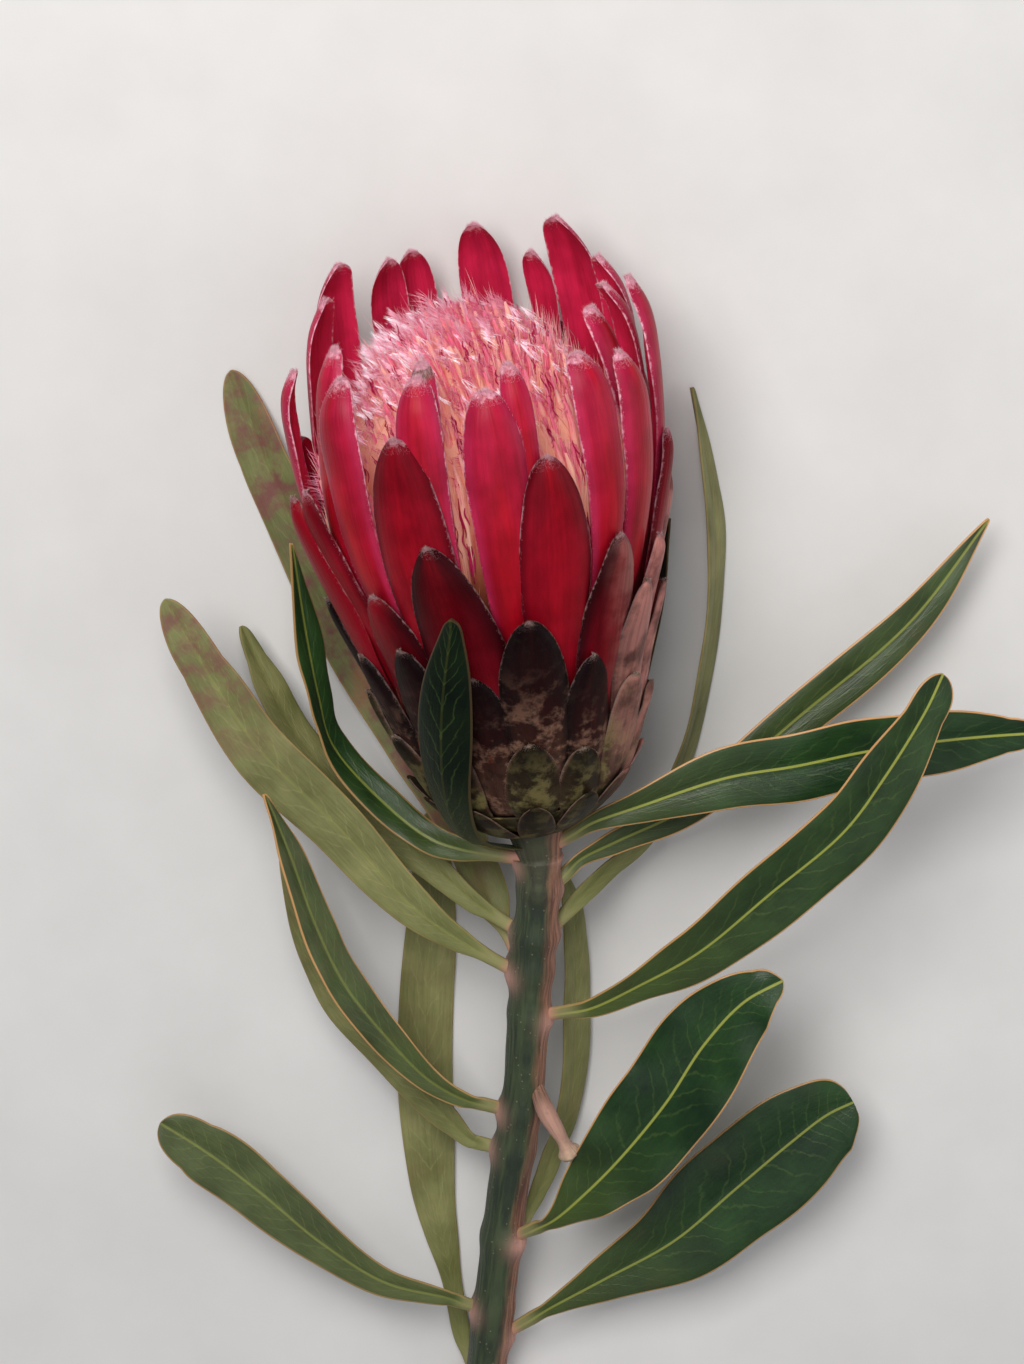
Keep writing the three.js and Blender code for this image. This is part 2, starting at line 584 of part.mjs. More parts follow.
function named(name, geometry, colour, roughness = 0.6) {
  const material = new THREE.MeshStandardMaterial({ color: colour, roughness, metalness: 0 });
  const mesh = new THREE.Mesh(geometry, material);
  mesh.name = name;
  return mesh;
}

const flower = new THREE.Group();
const surface = aboveSurface();
flower.add(named('stem', toGeometry(toSolid(stemGeometry(0)).add(toSolid(stubGeometry()))), 0x3a2f22));
flower.add(named('florets', toGeometry(floretSolid()), 0xe8a596, 0.85));
for (const whorl of WHORLS) {
  flower.add(named(whorl.name, toGeometry(whorlSolid(whorl).intersect(surface)), whorl.colour, 0.5));
}

const stemEnvelope = toSolid(stemGeometry(SEAT_GAP));
for (const leaf of HEAD_LEAVES) {
  const blade = toSolid(headBlade(leaf.points, BUD_THICKNESS)).subtract(stemEnvelope);
  flower.add(named(leaf.name, toGeometry(blade), leaf.colour));
}
for (const leaf of LEAVES) {
  const blade = toSolid(leafGeometry(leaf)).subtract(stemEnvelope);
  flower.add(named(leaf.name, toGeometry(blade), leaf.colour));
}

// The origin is the middle of the flower's box, on the surface it lies on.
const box = new THREE.Box3().setFromObject(flower);
flower.position.set(-(box.min.x + box.max.x) / 2, -(box.min.y + box.max.y) / 2, -box.min.z);

export default flower;
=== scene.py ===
"""The look of a protea flower that lies on its back: bracts, florets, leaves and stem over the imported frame.

Shapes are worked out in millimetres in the flower's own frame, as in the part's source, and to_row() takes
them to metres in the row frame. The head has its own axes: height up its axis, radius from it, and azimuth
round it from the side that faces up, positive to the right.
"""
from types import SimpleNamespace

import bpy
import numpy as np
from mathutils import Matrix, Vector


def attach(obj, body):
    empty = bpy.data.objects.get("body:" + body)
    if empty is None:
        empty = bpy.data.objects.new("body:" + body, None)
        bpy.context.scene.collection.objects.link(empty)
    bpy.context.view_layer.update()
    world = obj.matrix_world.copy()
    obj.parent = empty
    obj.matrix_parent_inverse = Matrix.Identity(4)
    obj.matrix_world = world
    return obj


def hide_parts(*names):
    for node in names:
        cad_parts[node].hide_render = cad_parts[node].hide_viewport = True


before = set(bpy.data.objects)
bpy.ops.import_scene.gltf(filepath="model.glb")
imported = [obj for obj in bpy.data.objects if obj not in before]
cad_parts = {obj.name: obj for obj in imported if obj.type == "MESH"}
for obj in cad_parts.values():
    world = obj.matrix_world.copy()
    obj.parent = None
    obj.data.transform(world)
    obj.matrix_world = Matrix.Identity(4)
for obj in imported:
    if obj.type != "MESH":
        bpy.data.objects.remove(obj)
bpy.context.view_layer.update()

# ---- driving dimensions, millimetres and degrees ---------------------------------------------------

SHIFT = np.array([-15.3818, 36.3686, 0.0])
HEAD_BASE = np.array([4, -26.5, 24.9])
HEAD_LEAN = 8
HEAD_PITCH = 8
STEM_RADIUS = 4
ROOT_DEPTH = 1.2
CUP_THICKNESS = 1.1
CUP_FLOOR = 2.5
SEAT_GAP = 0.3
BRACT_THICKNESS = 0.8
# The bracts under the head are pressed flat at this height over the surface.
LOWEST_BRACT = 0.02

CUP_PROFILE = [
    [-6, 1], [0, 4.5], [4, 9], [10, 14], [20, 18.5], [30, 21.8], [40, 25.2], [50, 28.6],
    [60, 31.8], [70, 34], [80, 34.8], [90, 34.8], [100, 34], [108, 32.8]]
RECEPTACLE = [[-9, 4.2], [-4, 5.4], [0, 7.4], [3, 9.2], [8, 10.8], [14, 11.8], [17, 11], [18.5, 6]]
CORE = [[18.8, 0.05], [18.8, 14], [20, 15.4], [32, 19.8], [45, 24.2], [58, 25.6], [70, 25.4], [80, 22.6],
        [88, 14], [91, 7], [92, 0.05]]
# The florets' tips: radius, height.
DOME = [[0, 98.8], [9, 97.0], [15.5, 92.2], [21.6, 85.6], [25, 79.6], [27.5, 73.2]]
LEFT_SHOULDER_DROP = 4.8
# Full length of an outer floret; radius of the woolliest part; radius outside which most threads hang.
FULL_LENGTH = 46
CROWN_RADIUS = 18
SHOULDER_RADIUS = 24.8
# Radius of a hair on the bracts.
WOOL_RADIUS = 0.025

# Small scales where the head meets the stem: share of their length, height, radius, half width.
SCALES = [[0, -2.2, 5.4, 1.8], [0.25, -0.7, 9.4, 3.0], [0.45, 1.5, 12.9, 3.7], [0.7, 5.6, 17.5, 3.9],
          [0.9, 9.4, 20.6, 2.8], [1, 11.4, 21.9, 0.6]]
SCALE_COUNT = 12

# A whorl's sizes: how far it stands outside the cup profile, where its fused base starts and ends, where its
# blades start, the inward lean and hook of its tips, and its taper's reach and power. Then each bract:
# azimuth, height of its tip, half width, and shift of its tip inwards, where it has one.
WHORL_SIZES = ("offset", "foot", "rim", "start", "incurve", "hook", "taper")
WHORLS = {
    "bracts_inner": ((0, 14, 45, 33, 1.5, 1.7, (3.1, 0.5)), [
        [6.5, 94, 5.7], [16, 97, 2.7, 1.8], [43, 95.6, 4.5], [62, 92.5, 5.7], [76, 98, 4.2, 7],
        [92, 101, 5.6], [106, 98, 4.8, 3], [119, 101, 5.2], [137, 107.5, 5.7], [154, 100, 2.8],
        [172, 106.4, 4.8], [194, 103, 4], [205, 103, 4, 1.8], [226, 104.6, 5.1], [246, 101, 5, 3.5],
        [265, 91.5, 4.6], [303, 100, 4, 4], [316, 96.4, 5.0], [344, 97.4, 4.2], [346.5, 99.4, 2.8, 3]]),
    "bracts_middle": ((1.6, 11, 37, 24, 0.3, 1.0, (3.5, 0.57)), [
        [-23, 88, 7.2], [21.5, 81, 7], [-63, 75, 6.4], [86, 72.5, 6.4], [118, 80, 6.8], [150, 86, 6.8],
        [182, 84, 7.2], [216, 80, 6.8], [250, 76, 6.8]]),
    "bracts_lower": ((3.2, 8, 27, 15, 0.3, 0.7, (3.6, 0.62)), [
        [-13, 68, 7.8], [-41, 57, 6.4], [43, 62, 6.8], [-69, 73, 6.2], [72, 56, 5.8], [100, 62, 6.6],
        [126, 57, 6.4], [152, 60, 6.2], [179, 52, 6.4], [206, 59, 6.4], [233, 62, 6.4], [261, 57, 6.2]]),
    "bracts_dark": ((4.8, 5, 15, 7, 0.3, 0.4, (3.0, 0.57)), [
        [10, 51, 6.6], [34, 40, 5.2], [59, 50, 5.8], [-14, 40, 5.2], [-38, 46, 5.6], [-64, 41, 5.8],
        [-90, 48, 5.8], [84, 44, 5.6], [110, 50, 5.8], [136, 42, 5.8], [162, 49, 5.8], [188, 41, 5.8],
        [214, 47, 5.8], [241, 42, 5.8]]),
    "bracts_base": ((6.4, 1.5, 7.5, 2, 0.3, 0.2, (2.6, 0.55)), [
        [4, 24.6, 5.4], [30, 21, 4.8], [55, 32, 5.2], [82, 25, 5.2], [109, 29, 5.2], [136, 24, 5.2],
        [163, 28, 5.2], [190, 23, 5.2], [217, 28, 5.2], [244, 24, 5.2], [271, 29, 5.2], [298, 24, 5.2],
        [325, 28, 5.2]]),
}
# How far the tips of the three front bracts of the lower whorl stand aside from their feet.
LOWER_FRONT_LEANS = (-2.6, 0.8, 1.0)
# The inner bract whose tip has dried brown.
DRIED_BRACT = 19

# Young leaves pressed against the head: azimuth, height, radius, half width.
HEAD_LEAVES = {
    "leaf_front_bud": [
        [-52, -6, 4.5, 1.4], [-48, -2.5, 11, 2], [-43, 3, 18.4, 3], [-35, 14, 25, 4.6],
        [-26, 28, 30.2, 5.4], [-18, 42, 34.8, 4.5], [-12.5, 52.5, 38, 2.2], [-11.5, 56, 38.8, 0.8]],
    "leaf_back_bud": [
        [128, -6, 4.5, 1.4], [127, -2.5, 11, 2], [125, 3, 18.4, 3], [123, 14, 25, 4.6],
        [121, 28, 30.2, 5.4], [119, 38, 33.4, 4.4], [118, 45, 35.6, 2.4], [118, 48, 36.6, 0.8]],
}

STEM_LINE = [
    [-6, -157, 3.96], [-3.5, -134, 7.8], [-1, -110, 11.6], [2, -88, 15.2], [3.4, -66, 18.8],
    [4.8, -45, 22.4], [5, -36, 23.9], HEAD_BASE]
STUB_LINE = [
    [4.0, -81, 16.0], [5.0, -85, 18.0], [6.7, -88.8, 19.8], [9.1, -93, 20.9], [10.4, -95.6, 20.9],
    [11.4, -97.4, 20.5]]
# The broken stalk's radius: share of its length, radius.
STUB_SIZES = [
    [0, 0.8], [0.2, 1.3], [0.4, 1.9], [0.54, 1.7], [0.68, 1.25], [0.8, 1.4], [0.92, 2.1], [1, 1.8]]

# Leaves: the stalk's place along the stem and its angle round it, fold up at the midrib, wave of the margin,
# width kept at the tip on either side, look (paleness, midrib, margin), marks (blotches, where they start,
# browning). Then points: x, y, z, half width, and roll, where there is one.
LEAVES = {
    "leaf_a": ((-58, -120), 14, 0.5, (0.95, 0.95), (0.75, 0.1, 0.3), (1.0, 0.2, 1.5), [
        [-4, -48, 13, 3.6, 20], [-8, -39, 10.5, 4, 25], [-13, -30, 8, 4.2, 20], [-20, -19, 5.5, 4.4, 10],
        [-30, -3, 3, 4.6], [-39, 17, 1.6, 4.9, -10], [-47, 36, 1, 4.8, -10], [-53, 53, 0.4, 1]]),
    "leaf_b": ((-36, -80), 16, 0.5, (0.4, 0.4), (0.03, 0.4, 0.5), (0, 1, 0), [
        [-10, -34, 24.6, 2.4, 10], [-16, -32, 23.6, 3, 20], [-24, -26, 22, 3.4, 30], [-34, -15, 20, 3.6, 60],
        [-36.5, -6, 19, 3.6, 55], [-38.5, 5, 19, 3.4, 50], [-41, 24, 20, 0.8, 40]]),
    "leaf_c": ((-60, -75), 12, 0.3, (0.95, 0.95), (0.9, 0.15, 0.25), (0.85, 0.70, 0.3), [
        [-10, -53, 22, 2.4], [-19, -46, 22.5, 4], [-32, -31, 23, 5.4], [-47, -15, 24, 5.6],
        [-56, -1, 24, 4.6], [-64.5, 14, 23, 1.2]]),
    "leaf_d": ((-52, -110), 10, 0.3, (0.8, 0.8), (1.0, 0.05, 0.1), (0, 1, 0), [
        [-7, -47, 18, 2], [-16, -40, 15, 3], [-27, -32, 12, 3.6, 20], [-41, -16, 9.5, 3.6, 40],
        [-46.5, -6, 8.5, 3.2, 40], [-51.5, 5, 7.5, 1, 40]]),
    "leaf_e": ((-90, -80), 18, 0.5, (0.4, 0.4), (0.22, 0.25, 0.8), (0.1, 0.5, 0.1), [
        [-9, -87, 18, 1.6], [-16, -82, 20.5, 2.4, 10], [-24, -72, 24, 3.4, 20], [-32, -60, 27, 4, 35],
        [-37, -48, 29, 3.8, 40], [-42, -32, 31, 2.6, 40], [-46, -21, 32, 0.8, 40]]),
    "leaf_f": ((-99, -95), 14, 0.4, (0.5, 0.5), (0.9, 0.1, 0.2), (0.1, 0.6, 0.1), [
        [-8, -98, 11.5, 1.6], [-13, -93, 12, 2.6], [-21, -83, 14, 3.6, -10], [-33, -67, 16, 4, -20],
        [-39, -53, 17.5, 3.4, -20], [-44, -36, 19, 0.9, -20]]),
    "leaf_g": ((-152, -140), 6, 0.2, (0.9, 0.9), (1.0, 0.05, 0.1), (0.15, 0.6, 0.5), [
        [-10, -144, 2, 1.8], [-12, -133, 0.6, 2], [-14, -123, 0.6, 3.2], [-16, -111, 0.6, 4.6],
        [-17, -94, 0.6, 5.4], [-17, -73, 0.6, 5.4], [-15.5, -52, 0.6, 4.4], [-16, -34, 0.6, 1.2]]),
    "leaf_h": ((-135, -75), 14, 0.5, (0.95, 0.95), (0.3, 0.3, 0.5), (0, 1, 0), [
        [-13, -132, 10, 1.8], [-25, -128, 12, 2.8, 10], [-38, -118.3, 14, 4.4, 15],
        [-49, -107.8, 15, 5.6, 10], [-60, -98.6, 15.5, 5.8, 10], [-68.5, -92.8, 15.5, 1.6, 10]]),
    "leaf_i": ((-52, 120), 12, 0.3, (0.5, 0.5), (0.95, 0.05, 0.15), (0.1, 0.6, 0.1), [
        [12, -47, 18, 1.6], [18, -42, 14, 2.2, 20], [26, -36, 9.5, 3, 50], [33, -21, 4.6, 4.4, 66],
        [37, -2, 4.3, 5, 68], [38.4, 18, 4.3, 5, 70], [37, 33, 3.6, 4.2, 70], [34, 50, 1.8, 1.2, 70]]),
    "leaf_j": ((-33, 70), 14, 0.5, (0.8, 0.8), (0.0, 0.9, 1.0), (0, 1, 0), [
        [15, -28, 27.4, 1.7], [24, -24.5, 28, 3.4], [40, -19, 28, 6], [53, -17, 27, 6.6],
        [66, -14.5, 26, 6.6], [80, -13, 24, 6], [91, -12.5, 22, 4.2], [100, -12.5, 20, 1.2]]),
    "leaf_k": ((-69, 65), 16, 0.6, (0.95, 0.95), (0.05, 0.8, 0.9), (0, 1, 0), [
        [15, -66, 24, 1.9], [24, -60, 28, 3.4, 5], [35, -52, 32, 5.6, 10], [48, -39, 36, 7, 10],
        [61, -26, 39.5, 7, 10], [68, -15, 41.5, 6, 10], [75, -2, 43, 4, 10], [78, 5, 43, 1.4, 10]]),
    "leaf_m": ((-42, 105), 12, 0.4, (0.4, 0.4), (0.15, 0.5, 1.0), (0, 1, 0.3), [
        [13, -37, 21.5, 1.5], [20, -34, 19.6, 2.4], [34, -28, 16, 3.6], [55, -11, 12.5, 4.4],
        [75, 6, 10, 4], [90, 26, 8, 0.9]]),
    "leaf_n": ((-118, 50), 16, 1.2, (0.70, 0.60), (0.0, 0.8, 0.9), (0, 1, 0), [
        [8, -112, 18.5, 1.9, -10], [14.5, -105, 21, 5.6, -10], [21, -97, 23, 8.4, -10],
        [29.5, -84.5, 26, 9.6, -10], [36.5, -72, 28, 9.2, -10], [44, -62.5, 30, 6.8, -10],
        [51, -58, 31, 2, -10]]),
    "leaf_o": ((-141, 80), 12, 0.4, (0.5, 0.5), (0.0, 0.6, 0.7), (0, 1, 0.1), [
        [8, -134, 10, 1.9], [18, -127.8, 11, 4.6], [32, -119, 12, 9], [44, -107.5, 13, 11.2],
        [54.5, -97.4, 14, 10.6], [61.5, -91.6, 14, 8.6], [66.5, -89, 14, 5.6]]),
    "leaf_p": ((-120, 120), 10, 0.3, (0.5, 0.5), (0.95, 0.1, 0.1), (0, 1, 0.3), [
        [5, -111, 7, 2, 30], [8, -103, 5.6, 3, 40], [11.5, -92, 4.4, 3.8, 50], [12.5, -71, 4.4, 4, 50],
        [12, -56, 5, 3.4, 50], [10, -44, 6.5, 1, 50]]),
}

# ---- arrays: curves, frames, closed surfaces -------------------------------------------------------


def unit(a):
    """Vectors scaled to length one."""
    return a / np.maximum(np.linalg.norm(a, axis=-1, keepdims=True), 1e-12)


def held(x):
    """A value held between 0 and 1."""
    return np.clip(x, 0, 1)


def smooth(x, low=0.0, high=1.0):
    """Smooth step from 0 at low to 1 at high: 3t^2 - 2t^3."""
    t = held((x - low) / (high - low))
    return t * t * (3 - 2 * t)


def filled(rows, columns):
    """Rows as an array, with a 0 where the last number is left out."""
    return np.array([(*row, 0)[:columns] for row in rows], float)


def through(rows, x, column=1):
    """Smooth curve through rows (x, value, ...): cubic pieces, sloped by their neighbours' differences."""
    xs, ys = np.asarray(rows, float)[:, [0, column]].T
    last = len(xs) - 1
    before, after = np.maximum(np.arange(last + 1) - 1, 0), np.minimum(np.arange(last + 1) + 1, last)
    slopes = (ys[after] - ys[before]) / (xs[after] - xs[before])
    x = np.clip(x, xs[0], xs[-1])
    i = np.clip(np.searchsorted(xs, x) - 1, 0, last - 1)
    span = xs[i + 1] - xs[i]
    t = (x - xs[i]) / span
    p, q, m, n = ys[i], ys[i + 1], slopes[i] * span, slopes[i + 1] * span
    return p + m * t + (3 * (q - p) - 2 * m - n) * t**2 + (2 * (p - q) + m + n) * t**3


def spline(points, t):
    """Smooth cubic curve through points, at shares t of its spans: places and directions.

    The slopes at a point weigh the two spans that meet there by the square roots of their lengths.
    """
    p = np.asarray(points, float)
    p = np.vstack([2 * p[0] - p[1], p, 2 * p[-1] - p[-2]])
    place = held(t) * (len(points) - 1)
    i = np.minimum(place.astype(int), len(points) - 2)
    w = (place - i)[:, None]
    a, b, c, d = p[i], p[i + 1], p[i + 2], p[i + 3]
    ab, bc, cd = (np.sqrt(np.linalg.norm(v, axis=1))[:, None] for v in (b - a, c - b, d - c))
    m = ((b - a) / ab - (c - a) / (ab + bc) + (c - b) / bc) * bc
    n = ((c - b) / bc - (d - b) / (bc + cd) + (d - c) / cd) * bc
    square, cube = 3 * (c - b) - 2 * m - n, 2 * (b - c) + m + n
    return b + m * w + square * w**2 + cube * w**3, unit(m + 2 * square * w + 3 * cube * w**2)


def ripple(seed, *coordinates):
    """Soft irregular wave from -1 to 1: five sines of the coordinates with drawn directions and phases."""
    rng = np.random.default_rng(seed)
    total = 0
    for _ in range(5):
        pushes = rng.uniform(-1.6, 1.6, len(coordinates))
        total = total + np.sin(sum(c * k for c, k in zip(coordinates, pushes)) + rng.uniform(0, 6.3))
    return total / 5


LEAN, PITCH = np.radians(HEAD_LEAN), np.radians(HEAD_PITCH)
HEAD_AXIS = np.array([-np.sin(LEAN) * np.cos(PITCH), np.cos(LEAN) * np.cos(PITCH), np.sin(PITCH)])
HEAD_UP = unit(np.array([0, 0, 1.0]) - HEAD_AXIS[2] * HEAD_AXIS)
HEAD_RIGHT = np.cross(HEAD_AXIS, HEAD_UP)
# The side to which the florets' tips curl.
CURL = unit(-0.85 * HEAD_RIGHT + 0.15 * HEAD_UP + 0.25 * HEAD_AXIS)


def circle(turn, start, quarter):
    """Circles: cos(turn) * start + sin(turn) * quarter."""
    return np.cos(turn)[..., None] * start + np.sin(turn)[..., None] * quarter


def outward(azimuth):
    """Unit vector away from the head's axis at an azimuth."""
    return circle(np.radians(azimuth), HEAD_UP, HEAD_RIGHT)


def head_point(azimuth, height, radius):
    """Base + height along the axis + radius along the outward vector."""
    azimuth, height, radius = np.broadcast_arrays(azimuth, height, radius)
    return HEAD_BASE + height[..., None] * HEAD_AXIS + radius[..., None] * outward(azimuth)


def section(points):
    """Across a blade's outer face (1) and back on its other (-1): u from -1 to 1, denser at the margins.

    Returns u, the face, and the face's field: 1 outside, 0 inside.
    """
    u = np.sin(np.linspace(-1, 1, points) * np.pi / 2)
    face = np.repeat([1, -1], points)
    return np.concatenate([u, u[::-1]]), face, (face[:, None] + 1) / 2.0


def solid(points, quads, tris, fields):
    """A closed surface's arrays, repeated for each of its lofts, with faces turned so that they point out.

    points: lofts, corners, 3. The sign of the enclosed volume of each loft tells which way its faces point.
    """
    def volume(f):
        return np.einsum("nij,nij->n", points[:, f[:, 0]], np.cross(points[:, f[:, 1]], points[:, f[:, 2]]))

    signed = volume(quads[:, :3]) + volume(quads[:, [0, 2, 3]]) + (volume(tris) if len(tris) else 0)
    inside_out = (signed < 0)[:, None, None]
    start = (np.arange(len(points)) * points.shape[1])[:, None, None]
    return {
        "points": points.reshape(-1, 3),
        "quads": (np.where(inside_out, quads[:, ::-1], quads) + start).reshape(-1, 4),
        "tris": (np.where(inside_out, tris[:, ::-1], tris) + start).reshape(-1, 3),
        "fields": {k: v.reshape(-1, v.shape[-1]) for k, v in fields.items()}}


def loft(rings, fields, tips=None):
    """Closed lofts from rings (lofts, stations, around, 3): four-sided faces between neighbouring rings.

    Each end closes as a fan on its middle point, or on the tips given. A three-sided foot is one triangle.
    fields: name -> values that broadcast to (lofts, stations, around, width).
    """
    n, s, r, _ = rings.shape
    ends = [rings[:, -1].mean(1) if tips is None else tips] + ([] if r == 3 else [rings[:, 0].mean(1)])
    points = np.concatenate([rings.reshape(n, s * r, 3), np.stack(ends, 1)], 1)
    j = np.arange(r)
    k = (j + 1) % r
    rows = np.arange(s - 1)[:, None] * r
    quads = np.stack([rows + j, rows + k, rows + r + k, rows + r + j], -1).reshape(-1, 4)
    top = (s - 1) * r
    foot = np.array([[2, 1, 0]]) if r == 3 else np.stack([k, j, np.full(r, s * r + 1)], -1)
    tris = np.concatenate([np.stack([top + j, top + k, np.full(r, s * r)], -1), foot])
    out = {}
    for key, value in fields.items():
        value = np.broadcast_to(value, (n, s, r, np.shape(value)[-1]))
        closing = [value[:, -1].mean(1)] + ([] if r == 3 else [value[:, 0].mean(1)])
        out[key] = np.concatenate([value.reshape(n, s * r, -1), np.stack(closing, 1)], 1)
    return solid(points, quads, tris, out)


def hoop(grid, fields):
    """A closed ring-shaped surface from a grid that wraps both ways (around, profile, 3)."""
    a, p, _ = grid.shape
    i, j = np.meshgrid(np.arange(a), np.arange(p), indexing="ij")
    k, m = (i + 1) % a, (j + 1) % p
    quads = np.stack([i * p + j, k * p + j, k * p + m, i * p + m], -1).reshape(-1, 4)
    out = {key: np.broadcast_to(v, (a, p, np.shape(v)[-1])).reshape(1, a * p, -1)
           for key, v in fields.items()}
    return solid(grid.reshape(1, -1, 3), quads, np.zeros((0, 3), int), out)


def joined(*parts):
    """Several surfaces as one."""
    counts = np.cumsum([0] + [len(p["points"]) for p in parts[:-1]])
    both = {k: np.concatenate([p[k] + c for p, c in zip(parts, counts)]) for k in ("quads", "tris")}
    return {"points": np.concatenate([p["points"] for p in parts]), **both,
            "fields": {k: np.concatenate([p["fields"][k] for p in parts]) for k in parts[0]["fields"]}}


def tube(path, radius, sides, out, fields):
    """Tubes round paths (lofts, stations, 3): circles of the given radii, turned from the vectors out."""
    along = unit(np.gradient(path, axis=1))
    side = unit(np.cross(along, out))
    turn = 2 * np.pi * np.arange(sides) / sides
    ring = circle(turn, side[:, :, None], np.cross(side, along)[:, :, None])
    return loft(path[:, :, None] + radius[..., None, None] * ring, fields)


def hairs(root, direction, bend, length, radius, fields):
    """Three-sided tapered hairs: root + length * (direction * t + bend * t^2), at t = 0, 0.5 and 1."""
    side = unit(np.cross(direction, np.array([0.3, 0.5, 0.81])))
    ring = circle(2 * np.pi * np.arange(3) / 3, side[:, None], np.cross(direction, side)[:, None])
    places = [root + length[:, None] * (direction * t + bend * t * t) for t in (0, 0.5, 1)]
    rings = [places[i][:, None] + (radius * part)[:, None, None] * ring for i, part in ((0, 1), (1, 0.8))]
    return loft(np.stack(rings, 1), fields, tips=places[2])


def grain(across, along, seed):
    """The field that patterns follow: place across, place along, and a number of the piece's own."""
    return np.stack(np.broadcast_arrays(across, along, seed), -1).astype(float)


def to_row(points):
    """Millimetres in the flower's frame to metres in the row frame."""
    return (points + SHIFT) * 0.001


def make(name, surface, material, slot, *replaced):
    """A mesh object at the origin from a surface; it rides on the root and keeps its fields as attributes."""
    mesh = bpy.data.meshes.new(name)
    points, quads, tris = to_row(surface["points"]), surface["quads"], surface["tris"]
    corners = np.concatenate([quads.ravel(), tris.ravel()])
    totals = np.concatenate([np.full(len(quads), 4), np.full(len(tris), 3)])
    mesh.vertices.add(len(points))
    mesh.loops.add(len(corners))
    mesh.polygons.add(len(totals))
    mesh.vertices.foreach_set("co", points.ravel().astype(np.float32))
    mesh.loops.foreach_set("vertex_index", corners.astype(np.int32))
    mesh.polygons.foreach_set("loop_start", (np.cumsum(totals) - totals).astype(np.int32))
    mesh.polygons.foreach_set("loop_total", totals.astype(np.int32))
    mesh.polygons.foreach_set("use_smooth", np.ones(len(totals), bool))
    mesh.update(calc_edges=True)
    for key, value in surface["fields"].items():
        kind, slot_name = ("FLOAT_VECTOR", "vector") if value.shape[1] == 3 else ("FLOAT", "value")
        attribute = mesh.attributes.new(key, kind, "POINT")
        attribute.data.foreach_set(slot_name, value.ravel().astype(np.float32))
    mesh.materials.append(material)
    thing = bpy.data.objects.new(name, mesh)
    bpy.context.scene.collection.objects.link(thing)
    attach(thing, "root")
    if replaced:
        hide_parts(*replaced)


# ---- materials: words for nodes, shared groups -----------------------------------------------------

Socket = bpy.types.NodeSocket
# Height of the finest relief on bracts, florets and leaves, in metres.
RELIEF = 0.0002


def add(kind, inputs, tree=None, **settings):
    """The outputs of a new node, in the tree that its linked inputs come from or in the one given."""
    tree = tree or next(v.id_data for v in inputs.values() if isinstance(v, Socket))
    node = tree.nodes.new("ShaderNode" + kind)
    for key, value in settings.items():
        setattr(node, key, value)
    for key, value in inputs.items():
        if isinstance(value, Socket):
            tree.links.new(value, node.inputs[key])
        else:
            node.inputs[key].default_value = value
    return node.outputs


def word(operation):
    """A function that adds a Math node."""
    return lambda a, b=0.0, c=0.0: add("Math", {0: a, 1: b, 2: c}, operation=operation)[0]


plus, minus, times, larger = word("ADD"), word("SUBTRACT"), word("MULTIPLY"), word("MAXIMUM")
unsigned, fraction, scaled = word("ABSOLUTE"), word("FRACT"), word("MULTIPLY_ADD")


def parts(vector):
    """The three numbers of a vector."""
    return add("SeparateXYZ", {0: vector})


def step(value, low, high, to_low=0.0, to_high=1.0):
    """Smooth step of a value between two edges."""
    inputs = {"Value": value, "From Min": low, "From Max": high, "To Min": to_low, "To Max": to_high}
    return add("MapRange", inputs, interpolation_type="SMOOTHSTEP")[0]


def blend(share, a, b, how="MIX"):
    """Two colours mixed by a share."""
    a, b = (v if isinstance(v, Socket) else (*v, 1) for v in (a, b))
    return add("Mix", {0: share, 6: a, 7: b}, data_type="RGBA", blend_type=how)[2]


def ramp(share, *stops):
    """Colours along a value: each stop is a place and a colour."""
    out = add("ValToRGB", {"Fac": share})[0]
    elements = out.node.color_ramp.elements
    while len(elements) < len(stops):
        elements.new(0.5)
    for element, (place, colour) in zip(elements, stops):
        element.position = place
        element.color = (*colour, 1)
    return out


def shaded(colour, share, value, low, shade, high):
    """A colour multiplied by a shade where a value is low; the shade fades out where it is high."""
    return blend(share, colour, ramp(value, (low, shade), (high, (1, 1, 1))), "MULTIPLY")


def cloud(vector, scale, detail=3.0, roughness=0.55):
    """Noise on a place."""
    return add("TexNoise", {"Vector": vector, "Scale": scale, "Detail": detail, "Roughness": roughness})[0]


def shared(name, work, output, **inputs):
    """A node group: inputs are None for a vector or a number's first value, and work gives its output."""
    tree = bpy.data.node_groups.new(name, "ShaderNodeTree")
    for key, value in inputs.items():
        kind = "NodeSocketVector" if value is None else "NodeSocketFloat"
        socket = tree.interface.new_socket(key, in_out="INPUT", socket_type=kind)
        if value is not None:
            socket.default_value = value
    tree.interface.new_socket(output, in_out="OUTPUT", socket_type="NodeSocketFloat")
    given, result = tree.nodes.new("NodeGroupInput").outputs, tree.nodes.new("NodeGroupOutput").inputs
    tree.links.new(work(given), result[output])
    return tree


def long_grain(given):
    """Streaks along a piece: noise on (across * fine, along * slow, seed), pushed apart by contrast."""
    across, along, seed = parts(given["Grain"])
    place = {0: times(across, given["Fine"]), 1: times(along, given["Slow"]), 2: times(seed, 41.0)}
    value = minus(cloud(add("CombineXYZ", place)[0], 1.0, 4, 0.6), 0.5)
    return add("Clamp", {"Value": scaled(value, given["Contrast"], 0.5)})[0]


def blotch(given):
    """Soft-edged spots: noise on the place, cut between an edge and the edge plus softness."""
    value = cloud(given["Place"], given["Scale"], 5, 0.62)
    return step(value, given["Edge"], plus(given["Edge"], given["Softness"]))


